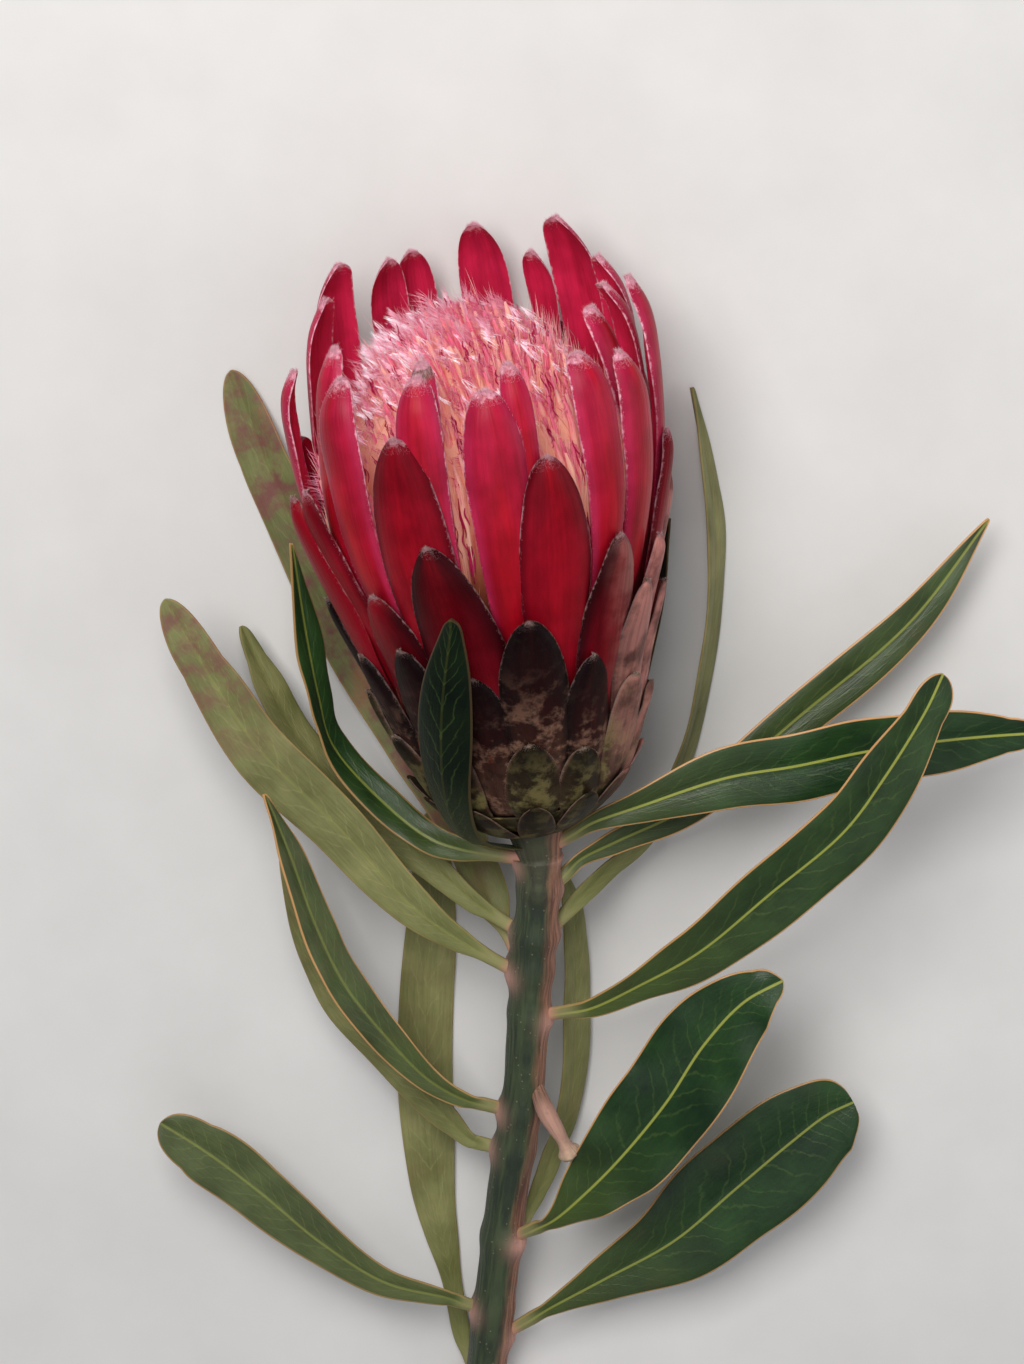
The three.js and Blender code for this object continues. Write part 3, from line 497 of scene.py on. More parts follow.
def felt(given):
    """Felt on a bract's margins and tip: where |across| or along passes its edge, frayed by noise."""
    across, along, _ = parts(given["Grain"])
    fray = scaled(cloud(given["Place"], 900, 3), 0.16, -0.08)
    margin = step(plus(unsigned(across), fray), minus(1.0, given["Margin"]), 1.02)
    raised = step(along, 0.45, 0.85)
    end = step(plus(along, times(fray, 0.4)), minus(1.0, given["Tip"]), 0.995)
    return larger(times(margin, raised), end)


LONG_GRAIN = shared("long_grain", long_grain, "Value", Grain=None, Fine=8, Slow=1.5, Contrast=1)
BLOTCH = shared("blotch", blotch, "Mask", Place=None, Scale=200, Edge=0.5, Softness=0.1)
FELT = shared("felt", felt, "Mask", Grain=None, Place=None, Margin=0.1, Tip=0.06)


def placed(group, *values):
    """A shared group placed in a material with its own values; its output."""
    return add("Group", dict(enumerate(values)), node_tree=group)[0]


def finish_material(name, **sheet):
    """A material and its Principled shader; plain values go straight onto the shader's sockets."""
    material = bpy.data.materials.new(name)
    material.use_nodes = True
    shader = material.node_tree.nodes["Principled BSDF"]
    for key, value in sheet.items():
        shader.inputs[key.replace("_", " ")].default_value = value
    return material, shader


def connect(shader, **inputs):
    """Links outputs to a shader's sockets."""
    for key, value in inputs.items():
        shader.id_data.links.new(value, shader.inputs[key.replace("_", " ")])


def object_place(shader):
    """The place on the object, in metres."""
    return add("TexCoord", {}, shader.id_data)["Object"]


def field(shader, name, output="Vector"):
    """A field of the mesh."""
    return add("Attribute", {}, shader.id_data, attribute_name=name, attribute_type="GEOMETRY")[output]


def bump(shader, height, strength, distance):
    """Relief from a height."""
    connect(shader, Normal=add("Bump", {"Height": height, "Strength": strength, "Distance": distance})[0])


def let_light_through(shader, colour, share):
    """Mixes in light that passes through thin hairs, in their own colour."""
    inputs = {0: share, 1: shader.outputs[0], 2: add("BsdfTranslucent", {"Color": colour})[0]}
    tree = shader.id_data
    tree.links.new(add("MixShader", inputs)[0], tree.nodes["Material Output"].inputs["Surface"])


def uneven(seed):
    """A number of each hair's or floret's own."""
    return add("TexWhiteNoise", {"W": seed}, noise_dimensions="1D")["Value"]


def bract_material(name, along, edge, glow, inside, felted, margin, tip, rim=0.6, mottle=None, gloss=0.22,
                   sheen=0.01, right_side_light=None, flushed=None, dried=None):
    """Bract skin: colours from root to tip, a margin colour, a glow down the middle, its inner face, felt. The
    glow and the lighter inner face are partly the bract's own colour, partly painted light shining through it.

    mottle: colour of patches, their level, how far up they fade. The right-side colour is painted light on the
    head's right, where light falls from the right. flushed: colour of the bract at the head's left. dried: the
    place round which a tip is brown.
    """
    material, shader = finish_material(
        name, Sheen_Weight=sheen, Sheen_Roughness=0.4, Sheen_Tint=(1, 0.6, 0.68, 1), Specular_IOR_Level=gloss,
        Subsurface_Weight=0.15, Subsurface_Scale=0.002, Subsurface_Radius=(1, 0.25, 0.15))
    place, way = object_place(shader), field(shader, "grain")
    across, up, _ = parts(way)
    off_middle = unsigned(across)
    colour = ramp(up, *along)
    broad = placed(LONG_GRAIN, way, 1.3, 2.6, 2.6)
    # Glow down the middle: partly the bract's own colour, partly painted light shining through the bract.
    colour = blend(times(step(off_middle, 0.7, 0.0), broad), colour, glow)
    colour = blend(step(off_middle, rim, 0.99), colour, edge)
    # Lighter inner face: partly its own colour, partly painted light shining through the bract.
    colour = blend(times(minus(1.0, field(shader, "face", "Fac")), 0.8), colour, inside)
    streak = placed(LONG_GRAIN, way, 9, 1.1, 2.2)
    colour = shaded(colour, 0.22, streak, 0.2, (0.5, 0.4, 0.45), 0.6)
    # Painted shade: broad long patches darken the bract, as where its neighbours shade it.
    colour = shaded(colour, 0.4, placed(LONG_GRAIN, way, 2.1, 5.0, 2.4), 0.2, (0.45, 0.40, 0.45), 0.7)
    colour = shaded(colour, 0.55, cloud(place, 115, 2.5), 0.38, (0.60, 0.42, 0.42), 0.60)
    if mottle:
        patches, level, fade = mottle
        patch = times(placed(BLOTCH, place, 260, level, 0.16), step(up, fade, fade * 0.3))
        colour = blend(patch, colour, patches)
        colour = blend(times(placed(BLOTCH, place, 620, 0.52, 0.1), 0.5), colour, (0.010, 0.008, 0.006))
    right = parts(place)[0]
    if flushed:
        colour = blend(step(right, -0.035, -0.042, 0, 0.8), colour, flushed)
    # Painted light: the head's right side is lightened in streaky patches, where light falls from the right.
    if right_side_light:
        right_side_lit = times(step(right, 0.0, 0.010), step(streak, 0.2, 0.6, 0.75, 1))
        right_side_lit = times(right_side_lit, step(cloud(place, 160, 4), 0.36, 0.60, 0.25, 0.85))
        colour = blend(right_side_lit, colour, right_side_light)
    if dried is not None:
        away = add("VectorMath", {0: place, 1: dried}, operation="DISTANCE")["Value"]
        colour = blend(step(away, 0.0036, 0.0018), colour, (0.13, 0.075, 0.060))
    wool = placed(FELT, way, place, margin, tip)
    colour = blend(times(wool, 0.8), colour, felted)
    connect(shader, Base_Color=colour, Roughness=step(wool, 0, 1, 0.40, 0.85))
    bump(shader, plus(times(streak, 0.7), times(cloud(place, 2500, 2), 0.35)), 0.3, RELIEF)
    return material


def wool_material(name, root, tip, bright=None, glow=0.0, through_share=0.25):
    """Hairs: a colour at the foot and another at the tip, uneven from hair to hair, bright where across is 1;
    on the florets that brightness is partly the hairs' own white, partly painted highlight.

    A little glow stands for the light that fine hairs pass on to each other.
    """
    material, shader = finish_material(name, Roughness=0.8, Specular_IOR_Level=0.1, Emission_Strength=glow)
    across, along, seed = parts(field(shader, "grain"))
    colour = blend(along, root, tip)
    colour = blend(times(uneven(seed), 0.35), colour, [c * 0.6 for c in root])
    if bright:
        colour = blend(across, colour, bright)
    connect(shader, Base_Color=colour, Emission_Color=colour)
    let_light_through(shader, colour, through_share)
    return material


def floret_material(name, streaks, glow, *along):
    """Florets: colours from foot to tip, shifted from one to the next, with crimson and cream streaks.

    A faint glow stands for light passed on inside the tuft; it fades towards the foot.
    """
    material, shader = finish_material(
        name, Roughness=0.6, Specular_IOR_Level=0.3, Emission_Strength=glow, Subsurface_Weight=0.3,
        Subsurface_Scale=0.003, Subsurface_Radius=(1, 0.6, 0.4))
    way = field(shader, "grain")
    _, up, seed = parts(way)
    plain = ramp(plus(up, scaled(uneven(seed), 0.24, -0.12)), *zip((0, 0.3, 0.55, 0.82, 0.93, 1), along))
    streak = placed(LONG_GRAIN, way, 9, 5, 3)
    colour = blend(times(step(streak, 0.66, 0.92), streaks), plain, (0.50, 0.04, 0.06))
    cream = times(step(streak, 0.4, 0.1), step(up, 0.4, 0.75, 0, 0.4))
    colour = blend(cream, colour, (1.0, 0.70, 0.52))
    connect(shader, Base_Color=colour, Emission_Color=blend(step(up, 0.3, 0.85), (0, 0, 0), colour))
    bump(shader, streak, 0.4, RELIEF)
    let_light_through(shader, plain, 0.3)
    return material


def leaf_material(name, deep, bright, gloss):
    """Leaf skin: green, veins, midrib, margin and blotches, from the fields grain, face, span, look, marks.

    The midrib is about 0.5 mm wide and the margin 0.3 mm, whatever the leaf's own width, which span gives.
    """
    material, shader = finish_material(
        name, Sheen_Weight=0.01, Subsurface_Weight=0.06, Subsurface_Scale=0.001, Specular_IOR_Level=gloss)
    place, way = object_place(shader), field(shader, "grain")
    across, along, _ = parts(way)
    look, marks = parts(field(shader, "look")), parts(field(shader, "marks"))
    off_middle, span = unsigned(across), field(shader, "span", "Fac")
    from_middle = times(off_middle, span)
    tone = cloud(place, 90, 4)
    dark = ramp(tone, (0.3, deep), (0.7, bright))
    pale = ramp(tone, (0.3, (0.125, 0.130, 0.040)), (0.7, (0.24, 0.235, 0.090)))
    paleness = larger(look[0], times(minus(1.0, field(shader, "face", "Fac")), 0.8))
    fine = placed(LONG_GRAIN, way, 14, 22, 2)
    colour = shaded(blend(paleness, dark, pale), 0.35, fine, 0.2, (0.5, 0.52, 0.45), 0.7)
    slant = plus(scaled(along, 24.0, times(off_middle, -2.2)), times(tone, 2.6))
    wave = unsigned(minus(fraction(slant), 0.5))
    vein = times(step(wave, 0.11, 0.0), step(off_middle, 0.92, 0.4))
    vein = times(vein, step(fine, 0.1, 0.6, 0.25, 1))
    light = blend(paleness, (0.07, 0.12, 0.025), (0.32, 0.30, 0.13))
    spots = times(placed(BLOTCH, place, 210, 0.40, 0.26), marks[0])
    dry = times(placed(BLOTCH, place, 60, 0.52, 0.2), marks[2])
    for share, over in (
            (times(vein, 0.3), light),
            (times(step(from_middle, 0.34, 0.14), look[1]), (0.33, 0.35, 0.06)),
            (times(spots, step(minus(along, marks[1]), -0.08, 0.22)), (0.16, 0.060, 0.050)),
            (times(dry, 0.6), (0.22, 0.10, 0.05)),
            (times(step(minus(span, from_middle), 0.38, 0.2), look[2]), (0.56, 0.29, 0.11)),
            (step(along, 0.62, 0.10, 0, 0.4), (0.13, 0.15, 0.035)),
            (step(along, 0.24, 0.08, 0, 0.6), (0.30, 0.27, 0.12)),
            (step(along, 0.10, 0.02, 0, 0.9), (0.50, 0.22, 0.17))):
        colour = blend(share, colour, over)
    connect(shader, Base_Color=colour, Roughness=step(paleness, 0, 1, 0.36, 0.6))
    relief = plus(times(vein, 0.25), times(fine, 0.5))
    bump(shader, plus(relief, times(cloud(place, 1400, 3), 0.5)), 0.45, RELIEF)
    return material


def stem_material():
    """Bark: dark green, red brown down the right, streaks, pale pores, pink leaf bases, and pale cut wood.
    The red brown down the right is partly the bark's own colour, partly painted light from the right.
    """
    material, shader = finish_material("stem_bark", Roughness=0.6, Sheen_Weight=0.05)
    place = object_place(shader)
    right, base, cut = parts(field(shader, "look"))
    streak = placed(LONG_GRAIN, field(shader, "grain"), 16, 14, 2.4)
    green = ramp(streak, (0.2, (0.010, 0.020, 0.008)), (0.8, (0.038, 0.056, 0.020)))
    red = ramp(streak, (0.2, (0.10, 0.035, 0.020)), (0.8, (0.31, 0.135, 0.075)))
    side = plus(right, scaled(cloud(place, 110, 3), 0.3, -0.15))
    pores = add("TexVoronoi", {"Vector": place, "Scale": 700.0})["Distance"]
    # Red brown down the right side: partly the bark's own colour, partly painted light falling from the right.
    colour = blend(step(side, 0.62, 0.92), green, red)
    colour = blend(step(pores, 0.16, 0.08, 0.0, 0.5), colour, (0.22, 0.17, 0.10))
    colour = blend(times(base, 0.85), colour, (0.48, 0.25, 0.20))
    wood = ramp(cloud(place, 900, 4), (0.3, (0.38, 0.30, 0.17)), (0.7, (0.62, 0.53, 0.34)))
    connect(shader, Base_Color=blend(cut, colour, wood))
    bump(shader, plus(streak, times(step(pores, 0.2, 0.08), 0.6)), 0.6, 0.0003)
    return material


# ---- bracts ----------------------------------------------------------------------------------------


def whorl_values(name):
    """The whorl's sizes and rows, with each bract's own drift, twist, hook and seed drawn once."""
    sizes, rows = WHORLS[name]
    whorl, count = SimpleNamespace(**dict(zip(WHORL_SIZES, sizes))), len(rows)
    whorl.azimuth, whorl.tip, whorl.half, whorl.shift = filled(rows, 4).T
    rng = np.random.default_rng(count * 7 + int(whorl.foot))
    whorl.drift = rng.uniform(-0.9, 0.9, count)
    if name == "bracts_lower":
        whorl.drift[:3] += LOWER_FRONT_LEANS
    whorl.twist = rng.uniform(-0.45, 0.45, count)
    whorl.bend = whorl.hook * rng.uniform(0.6, 1.5, count)
    whorl.seed = rng.uniform(0, 1, count)
    return whorl


def bract_point(whorl, k, t, u, face):
    """Place on bract k at t from root (0) to tip (1), u across (-1 to 1), face outside (1) or inside (-1).

    Half width = half * (0.62 + 0.38 * rise^0.75) * (1 - (1 - q)^2.4)^power, with q the distance below the
    tip in lengths of reach * half; taper holds reach and power. Radius = cup profile + offset - lean - hook
    at the tip - width * crown * u^2 - a rolled margin + or - half the thickness, which thins with u^4.
    """
    tip, half, seed = whorl.tip[k], whorl.half[k], whorl.seed[k]
    reach, power = whorl.taper
    height = whorl.start + t * (tip - whorl.start)
    root = whorl.rim - ROOT_DEPTH
    length = tip - root
    reach = np.minimum(reach * half, 0.7 * length)
    below = held((tip - height) / reach)
    rise = held((height - root) / (length - reach))
    width = half * (0.62 + 0.38 * rise**0.75) * (1 - (1 - below) ** 2.4) ** power
    x = held((height - root) / length)
    nod = held((x - 0.8) / 0.2)
    lean = whorl.shift[k] * smooth(x) + whorl.incurve * nod**2
    lean = lean + whorl.bend[k] * held((x - 0.88) / 0.12) ** 2
    layer = 0.35 * (k % 2 - 0.5) * (1 - smooth(height, whorl.rim, whorl.rim + 10))
    crown = (0.10 + 0.14 * x + 0.30 * nod**1.5) * width * u**2
    roll = 0.35 * held((np.abs(u) - 0.75) / 0.25) ** 2 * smooth(x, 0.15, 0.5)
    sway = 0.22 * np.sin(5 * x + 9 * seed) + whorl.twist[k] * u * x
    margin = 0.16 * np.sin(13 * x + 20 * seed + np.sign(u)) * np.abs(u) ** 3 * smooth(x, 0.1, 0.4)
    thickness = BRACT_THICKNESS * (1 - 0.72 * u**4) * (1 - 0.25 * x)
    radius = through(CUP_PROFILE, height) + whorl.offset - CUP_THICKNESS / 2 - lean + layer
    radius = radius - crown - roll + sway * smooth(x, 0, 0.3) + margin + face * thickness / 2
    aside = (width * u + whorl.drift[k] * x**2) / radius
    place = head_point(whorl.azimuth[k] + np.degrees(aside), height, radius)
    place[..., 2] = np.maximum(place[..., 2], LOWEST_BRACT)
    return place


def bract_blades(whorl, stations=40, points=13):
    """All bracts of a whorl: stations crowd towards the tip, t = 1 - (1 - v)^1.5."""
    t = (1 - (1 - np.linspace(0, 1, stations) * 0.9915) ** 1.5)[None, :, None]
    around, face, outer = section(points)
    k = np.arange(len(whorl.azimuth))[:, None, None]
    rings = bract_point(whorl, k, t, around, face)
    return loft(rings, {"grain": grain(around, t, whorl.seed[k]), "face": outer})


def cup_ring(whorl, sides=120):
    """The fused bases of a whorl: foot, outer wall, rim, inner wall and floor turned round the axis."""
    def outer(h):
        return through(CUP_PROFILE, h) + whorl.offset - 0.7

    foot, rim = whorl.foot, whorl.rim - 0.4
    floor = foot + CUP_FLOOR
    seat = max(through(RECEPTACLE, foot), through(RECEPTACLE, floor)) + SEAT_GAP
    wall, inner = np.linspace(foot, rim, 16), np.linspace(rim, floor, 12)
    heights = np.concatenate([[foot], wall, inner, [floor]])
    radii = np.concatenate([[seat], outer(wall), outer(inner) - 0.45, [seat]])
    turn = np.linspace(0, 360, sides, endpoint=False)[:, None]
    along = np.full((sides, len(heights)), 0.02)
    fields = {"grain": grain(0.5, along, turn / 360), "face": np.ones((1, 1, 1))}
    return hoop(head_point(turn, heights, radii), fields)


def scale_blades(stations=18, points=9):
    """Small scales at the head's foot: SCALES gives height, radius and half width along each of them."""
    rng = np.random.default_rng(77)
    t = np.linspace(0, 0.985, stations)[None, :, None]
    height, radius, half = (through(SCALES, t, c) for c in (1, 2, 3))
    turn = (np.arange(SCALE_COUNT) * 360 / SCALE_COUNT + rng.uniform(-5, 5, SCALE_COUNT))[:, None, None]
    seed = rng.uniform(0, 1, SCALE_COUNT)[:, None, None]
    around, face, outer = section(points)
    half = half * (0.85 + 0.3 * seed)
    out = radius + 0.4 + face * 0.3 * (1 - 0.6 * around**4) - 0.09 * half * around**2
    out = out + 0.25 * around * (seed - 0.5)
    rings = head_point(turn + np.degrees(around * half / radius), height + 1.2 * (seed - 0.5) * t, out)
    return loft(rings, {"grain": grain(around, 0.25 + 0.7 * t, seed), "face": outer})


def bract_wool(whorl, per_bract, length, on_tip, seed):
    """Hairs on tips (t near 1, standing on either face) or on margins (|u| near 1, pointing out of them)."""
    rng = np.random.default_rng(seed)
    k = np.repeat(np.arange(len(whorl.azimuth)), per_bract)
    n = len(k)
    side = rng.choice([-1, 1], n)
    if on_tip:
        below = rng.uniform(0, 1, n) ** 1.6
        t, u, grown = 0.9985 - 0.042 * below, rng.uniform(-1, 1, n), 1 - 0.78 * below**0.6
        pale = 0.65 * grown**1.5
    else:
        t, u = rng.uniform(0.3, 0.99, n), side * rng.uniform(0.94, 1, n)
        grown = 0.5 * (0.4 + 0.6 * smooth(t, 0.3, 0.9))
        pale = 0.1 + 0.4 * smooth(t, 0.5, 0.95)
    face = rng.choice([1, 1, -1], n)
    root = bract_point(whorl, k, t, u, face * 0.9)
    along = unit(bract_point(whorl, k, t, u, face) - bract_point(whorl, k, t - 0.01, u, face))
    right, left = (bract_point(whorl, k, t - 0.02, np.full(n, end), 0) for end in (1.0, -1.0))
    out = outward(whorl.azimuth[k]) * face[:, None]
    direction = along * 0.9 + (0.5 if on_tip else 1.0) * unit(right - left) * u[:, None] + 0.4 * out
    direction = unit(direction + rng.normal(0, 0.25, (n, 3)))
    bend = along * 0.25 + rng.normal(0, 0.2, (n, 3))
    size = length * rng.uniform(0.45, 1.25, n) * grown
    return hairs(root, direction, bend, size, np.full(n, WOOL_RADIUS), hair_fields(rng, n, high=pale))


# ---- florets ---------------------------------------------------------------------------------------


def hair_fields(rng, count, across=0.0, low=0.0, high=0.65):
    """The grain of hairs: across as given, along from low at the foot to high, and a number for each hair."""
    across, low, high = (np.broadcast_to(v, (count,))[:, None, None] for v in (across, low, high))
    return {"grain": grain(across, np.concatenate([low, high], 1), rng.uniform(0, 100, count)[:, None, None])}


def leftness(azimuth):
    """0 at the right and in the middle of the head, 1 at its left."""
    return held(-np.sin(np.radians(azimuth)))


def floret_values():
    """Crown florets by the golden angle, a shoulder ring of long ones, and a loose spray on the left."""
    rng = np.random.default_rng(11)
    golden = 180 * (3 - np.sqrt(5))
    crown, ring, spray = 640, 330, 80
    place = np.arange(crown)
    groups = [(golden * place + rng.normal(0, 2.5, crown),
               24.5 * np.sqrt((place + 0.5) / crown) + rng.normal(0, 0.25, crown), 0.9, 0.0),
              (rng.uniform(0, 360, ring), rng.uniform(24.3, 27.6, ring), 2.6, -0.5),
              (rng.uniform(-112, -58, spray), rng.uniform(27, 30, spray), 3.0, 3.0)]
    azimuth, radius = (np.concatenate([row[column] for row in groups]) for column in (0, 1))
    radius = np.abs(radius)
    unevenness = np.concatenate([lift + rng.normal(0, spread, len(turn)) for turn, _, spread, lift in groups])
    drop = LEFT_SHOULDER_DROP * leftness(azimuth) * smooth(radius, 11, 25)
    tip = through(DOME, radius) - drop + unevenness
    length = np.where(radius > 27.6, 32.0, np.where(radius > 18.5, FULL_LENGTH, 18.0))
    return SimpleNamespace(
        azimuth=azimuth, radius=radius, tip=tip, length=length,
        sway=rng.uniform(-1, 1, (len(azimuth), 4)), seed=rng.uniform(0, 100, len(azimuth)))


def floret_line(f, i, s):
    """Place on floret i at share s from foot to tip: it spreads outwards, radius * (0.84 + 0.16 s), bends in
    again near the tip when it stands outside, sways by two sines and curls to CURL over its last 5 mm."""
    radius = f.radius[i] * (0.84 + 0.16 * s - 0.05 * smooth(f.radius[i], 17, 25) * s**5)
    a, b, c, d = np.moveaxis(f.sway[i], -1, 0)
    sway = 0.5 * a * np.sin(4 * s + 6 * b) + 0.25 * c * np.sin(9 * s + 6 * d)
    turn = f.azimuth[i] + (30 / np.maximum(f.radius[i], 6)) * sway
    height = f.tip[i] - f.length[i] * (1 - s)
    hook = held((s - 1) * f.length[i] / 5 + 1) ** 2
    return head_point(turn, height, radius) + (0.8 * hook)[..., None] * CURL


def floret_way(f, i, s):
    """Direction of floret i at share s."""
    return unit(floret_line(f, i, s + 0.01) - floret_line(f, i, s - 0.01))


def floret_bodies(f, stations=12):
    """Slender five-sided tubes, a little thicker in the middle; the last 4 mm run out thin."""
    count = len(f.azimuth)
    s = np.broadcast_to(np.linspace(0, 1, stations), (count, stations))
    below = (1 - s) * f.length[:, None]
    girth = 0.80 * (0.8 + 0.3 * np.sin(np.pi * s)) * (1 - 0.62 * np.exp(-below / 2.2))
    out = outward(np.broadcast_to(f.azimuth[:, None], s.shape))
    depth = 1 - (1 - s) * (f.length / FULL_LENGTH)[:, None]
    path = floret_line(f, np.arange(count)[:, None], s)
    fields = {"grain": grain(np.linspace(-1, 1, 5), depth[..., None], f.seed[:, None, None])}
    return tube(path, girth, 5, out, fields)


def floret_tufts(f, chosen, per_floret, size, seed):
    """Brushes of soft hairs over the last 3 mm of the chosen florets; a brush leans one way, towards CURL."""
    rng = np.random.default_rng(seed)
    lean = rng.normal(0, 0.38, (len(f.azimuth), 3))
    glint = held(0.5 + 0.9 * ripple(17, f.azimuth / 9, f.radius / 3))
    crest = smooth(f.tip, 86, 99) * 0.5 + 0.5 * leftness(f.azimuth)
    i = np.repeat(chosen, per_floret)
    n = len(i)
    s = 1 - rng.uniform(0, 1, n) ** 1.3 * 3.0 / f.length[i]
    direction = floret_way(f, i, s) + lean[i] + 0.12 * outward(f.azimuth[i])
    direction = unit(direction + rng.normal(0, 0.2, (n, 3)))
    bend = 0.55 * CURL + 0.5 * lean[i] + rng.normal(0, 0.12, (n, 3))
    length = rng.uniform(1.3, 3.1, n) * (0.75 + 0.45 * glint[i])
    # White tips: partly the hairs' own white, partly painted highlight on the crest and the left, where light
    # falls.
    white_and_glint = held(glint * crest * 2.4 - 0.2)[i] * rng.uniform(0.6, 1, n)
    radius = rng.uniform(0.045, 0.07, n)
    return hairs(floret_line(f, i, s), direction, bend, length * size, radius, hair_fields(rng, n, white_and_glint))


def floret_wisps(f, count=340, hairs_each=7):
    """Bright wisps on the crown and the left shoulder, swept to the left: the hairs of one start round a
    floret's side and meet near a point 1.8 to 3.4 mm away."""
    rng = np.random.default_rng(29)
    left = leftness(f.azimuth)
    patch = np.clip(2.2 * ripple(12, f.azimuth / 8, f.radius / 2), 0.02, 1)
    high = smooth(f.tip + 0.5 * LEFT_SHOULDER_DROP * left, 81, 91)
    odds = patch * (0.45 + left) * smooth(f.radius, 3, 12) * high
    owner = rng.choice(len(odds), count, p=odds / odds.sum())
    s = 1 - rng.uniform(-0.6, 2.2, count) / f.length[owner]
    centre = floret_line(f, owner, s) + 0.5 * outward(f.azimuth[owner])
    aim = unit(0.7 * floret_way(f, owner, s) + 0.75 * CURL + rng.normal(0, 0.22, (count, 3)))
    end = centre + aim * rng.uniform(1.8, 3.4, (count, 1))
    w = np.repeat(np.arange(count), hairs_each)
    n = len(w)
    root = centre[w] + rng.normal(0, 0.38, (n, 3))
    line = end[w] + rng.normal(0, 0.16, (n, 3)) - root
    bend = rng.normal(0, 0.12, (n, 3))
    # Their white is partly the hairs' own, partly painted highlight on the crown and the left shoulder.
    white_and_glint = (rng.uniform(0, 1, count) ** 0.45)[w]
    length, radius = np.linalg.norm(line, axis=1), rng.uniform(0.05, 0.08, n)
    return hairs(root, unit(line) - bend, bend, length, radius, hair_fields(rng, n, white_and_glint))


def floret_silk(f, count, longest, seed):
    """Fine straight fibres that lie along the outer florets and soften them."""
    rng = np.random.default_rng(seed)
    i = rng.choice(np.flatnonzero(f.radius > 13), count)
    s = rng.uniform(0.12, 0.96, count)
    out = outward(f.azimuth[i] + rng.normal(0, 3, count))
    root = floret_line(f, i, s) + 0.62 * out
    direction = unit(floret_way(f, i, s) + rng.normal(0, 0.05, (count, 3)) + 0.04 * out)
    bend = rng.normal(0, 0.06, (count, 3))
    depth = 1 - (1 - s) * f.length[i] / FULL_LENGTH
    seeds = rng.uniform(0, 100, count)[:, None, None]
    return hairs(root, direction, bend, longest * rng.uniform(0.4, 1, count), rng.uniform(0.05, 0.10, count),
                 {"grain": grain(0.0, depth[:, None, None], seeds)})


def floret_threads(f, bunches=340, stations=10):
    """Crimson threads in bunches of three, most on outer florets: each hangs along one and wavers."""
    rng = np.random.default_rng(41)
    outer, shoulder = f.radius > SHOULDER_RADIUS, bunches * 3 // 4
    owner = np.concatenate([rng.choice(np.flatnonzero(outer), shoulder),
                            rng.choice(np.flatnonzero(~outer), bunches - shoulder)])
    low = outer[owner].astype(float)
    top = low * (0.5 + 19 * rng.uniform(0, 1, bunches) ** 1.5) + (1 - low) * rng.uniform(-1, 1.5, bunches)
    bunch = np.repeat(np.arange(bunches), 3)
    count = len(bunch)
    i = owner[bunch][:, None]
    top = np.minimum(top[bunch][:, None] + rng.normal(0, 0.9, (count, 1)), f.length[i] - 12)
    v = np.linspace(0, 1, stations)[None]
    drop = rng.uniform(2.5, 7.5, (count, 1)) * (0.6 + 0.4 * low[bunch][:, None])
    s = 1 - (top + drop * v) / f.length[i]
    out = outward(np.broadcast_to(f.azimuth[i], s.shape))
    beat, start = rng.uniform(4.5, 9, bunches), rng.uniform(0, 6.3, bunches)
    beat = (beat[bunch] + rng.normal(0, 0.5, count))[:, None]
    waver = 0.28 * (1 - 0.85 * smooth(top, 4, 13)) * np.sin(beat * v + start[bunch][:, None]) * (0.5 + v)
    lift = 1.05 + 0.2 * np.sin(rng.uniform(3, 7, (count, 1)) * v + rng.uniform(0, 6.3, (count, 1)))
    aside = waver + rng.normal(0, 0.55, (count, 1))
    path = floret_line(f, i, s) + out * lift[..., None] + np.cross(out, HEAD_AXIS) * aside[..., None]
    girth = 0.15 * (0.45 + 0.55 * np.sin(np.pi * v)) * rng.uniform(0.7, 1.3, (count, 1))
    return tube(path, girth, 4, out, {"grain": grain(0, v[..., None], rng.uniform(0, 100, (count, 1, 1)))})


def floret_core(sides=96, stations=60):
    """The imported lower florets: the core's profile turned round the axis, ribbed lengthwise by 0.35 mm."""
    rows = np.arange(len(CORE))
    places = np.linspace(0, rows[-1], stations)
    h, r = (np.interp(places, rows, column)[:, None] for column in np.array(CORE).T)
    turn = np.linspace(0, 360, sides, endpoint=False)
    ribs = 0.35 * ripple(5, turn[None] * 0.8, h * 0.06) * smooth(r, 0, 8)
    depth = np.clip(1 - (96 - h) / FULL_LENGTH, 0, 0.7)
    fields = {"grain": grain(np.sin(np.radians(turn * 9)), depth, 0.37)}
    return loft(head_point(turn, h, r + ribs)[None], fields)


# ---- leaves ----------------------------------------------------------------------------------------


def stem_point(y):
    """Point of the stem's middle line at a place along Y."""
    line, _ = spline(STEM_LINE, np.linspace(0, 1, 2000))
    return line[np.argmin(np.abs(line[:, 1] - y))]


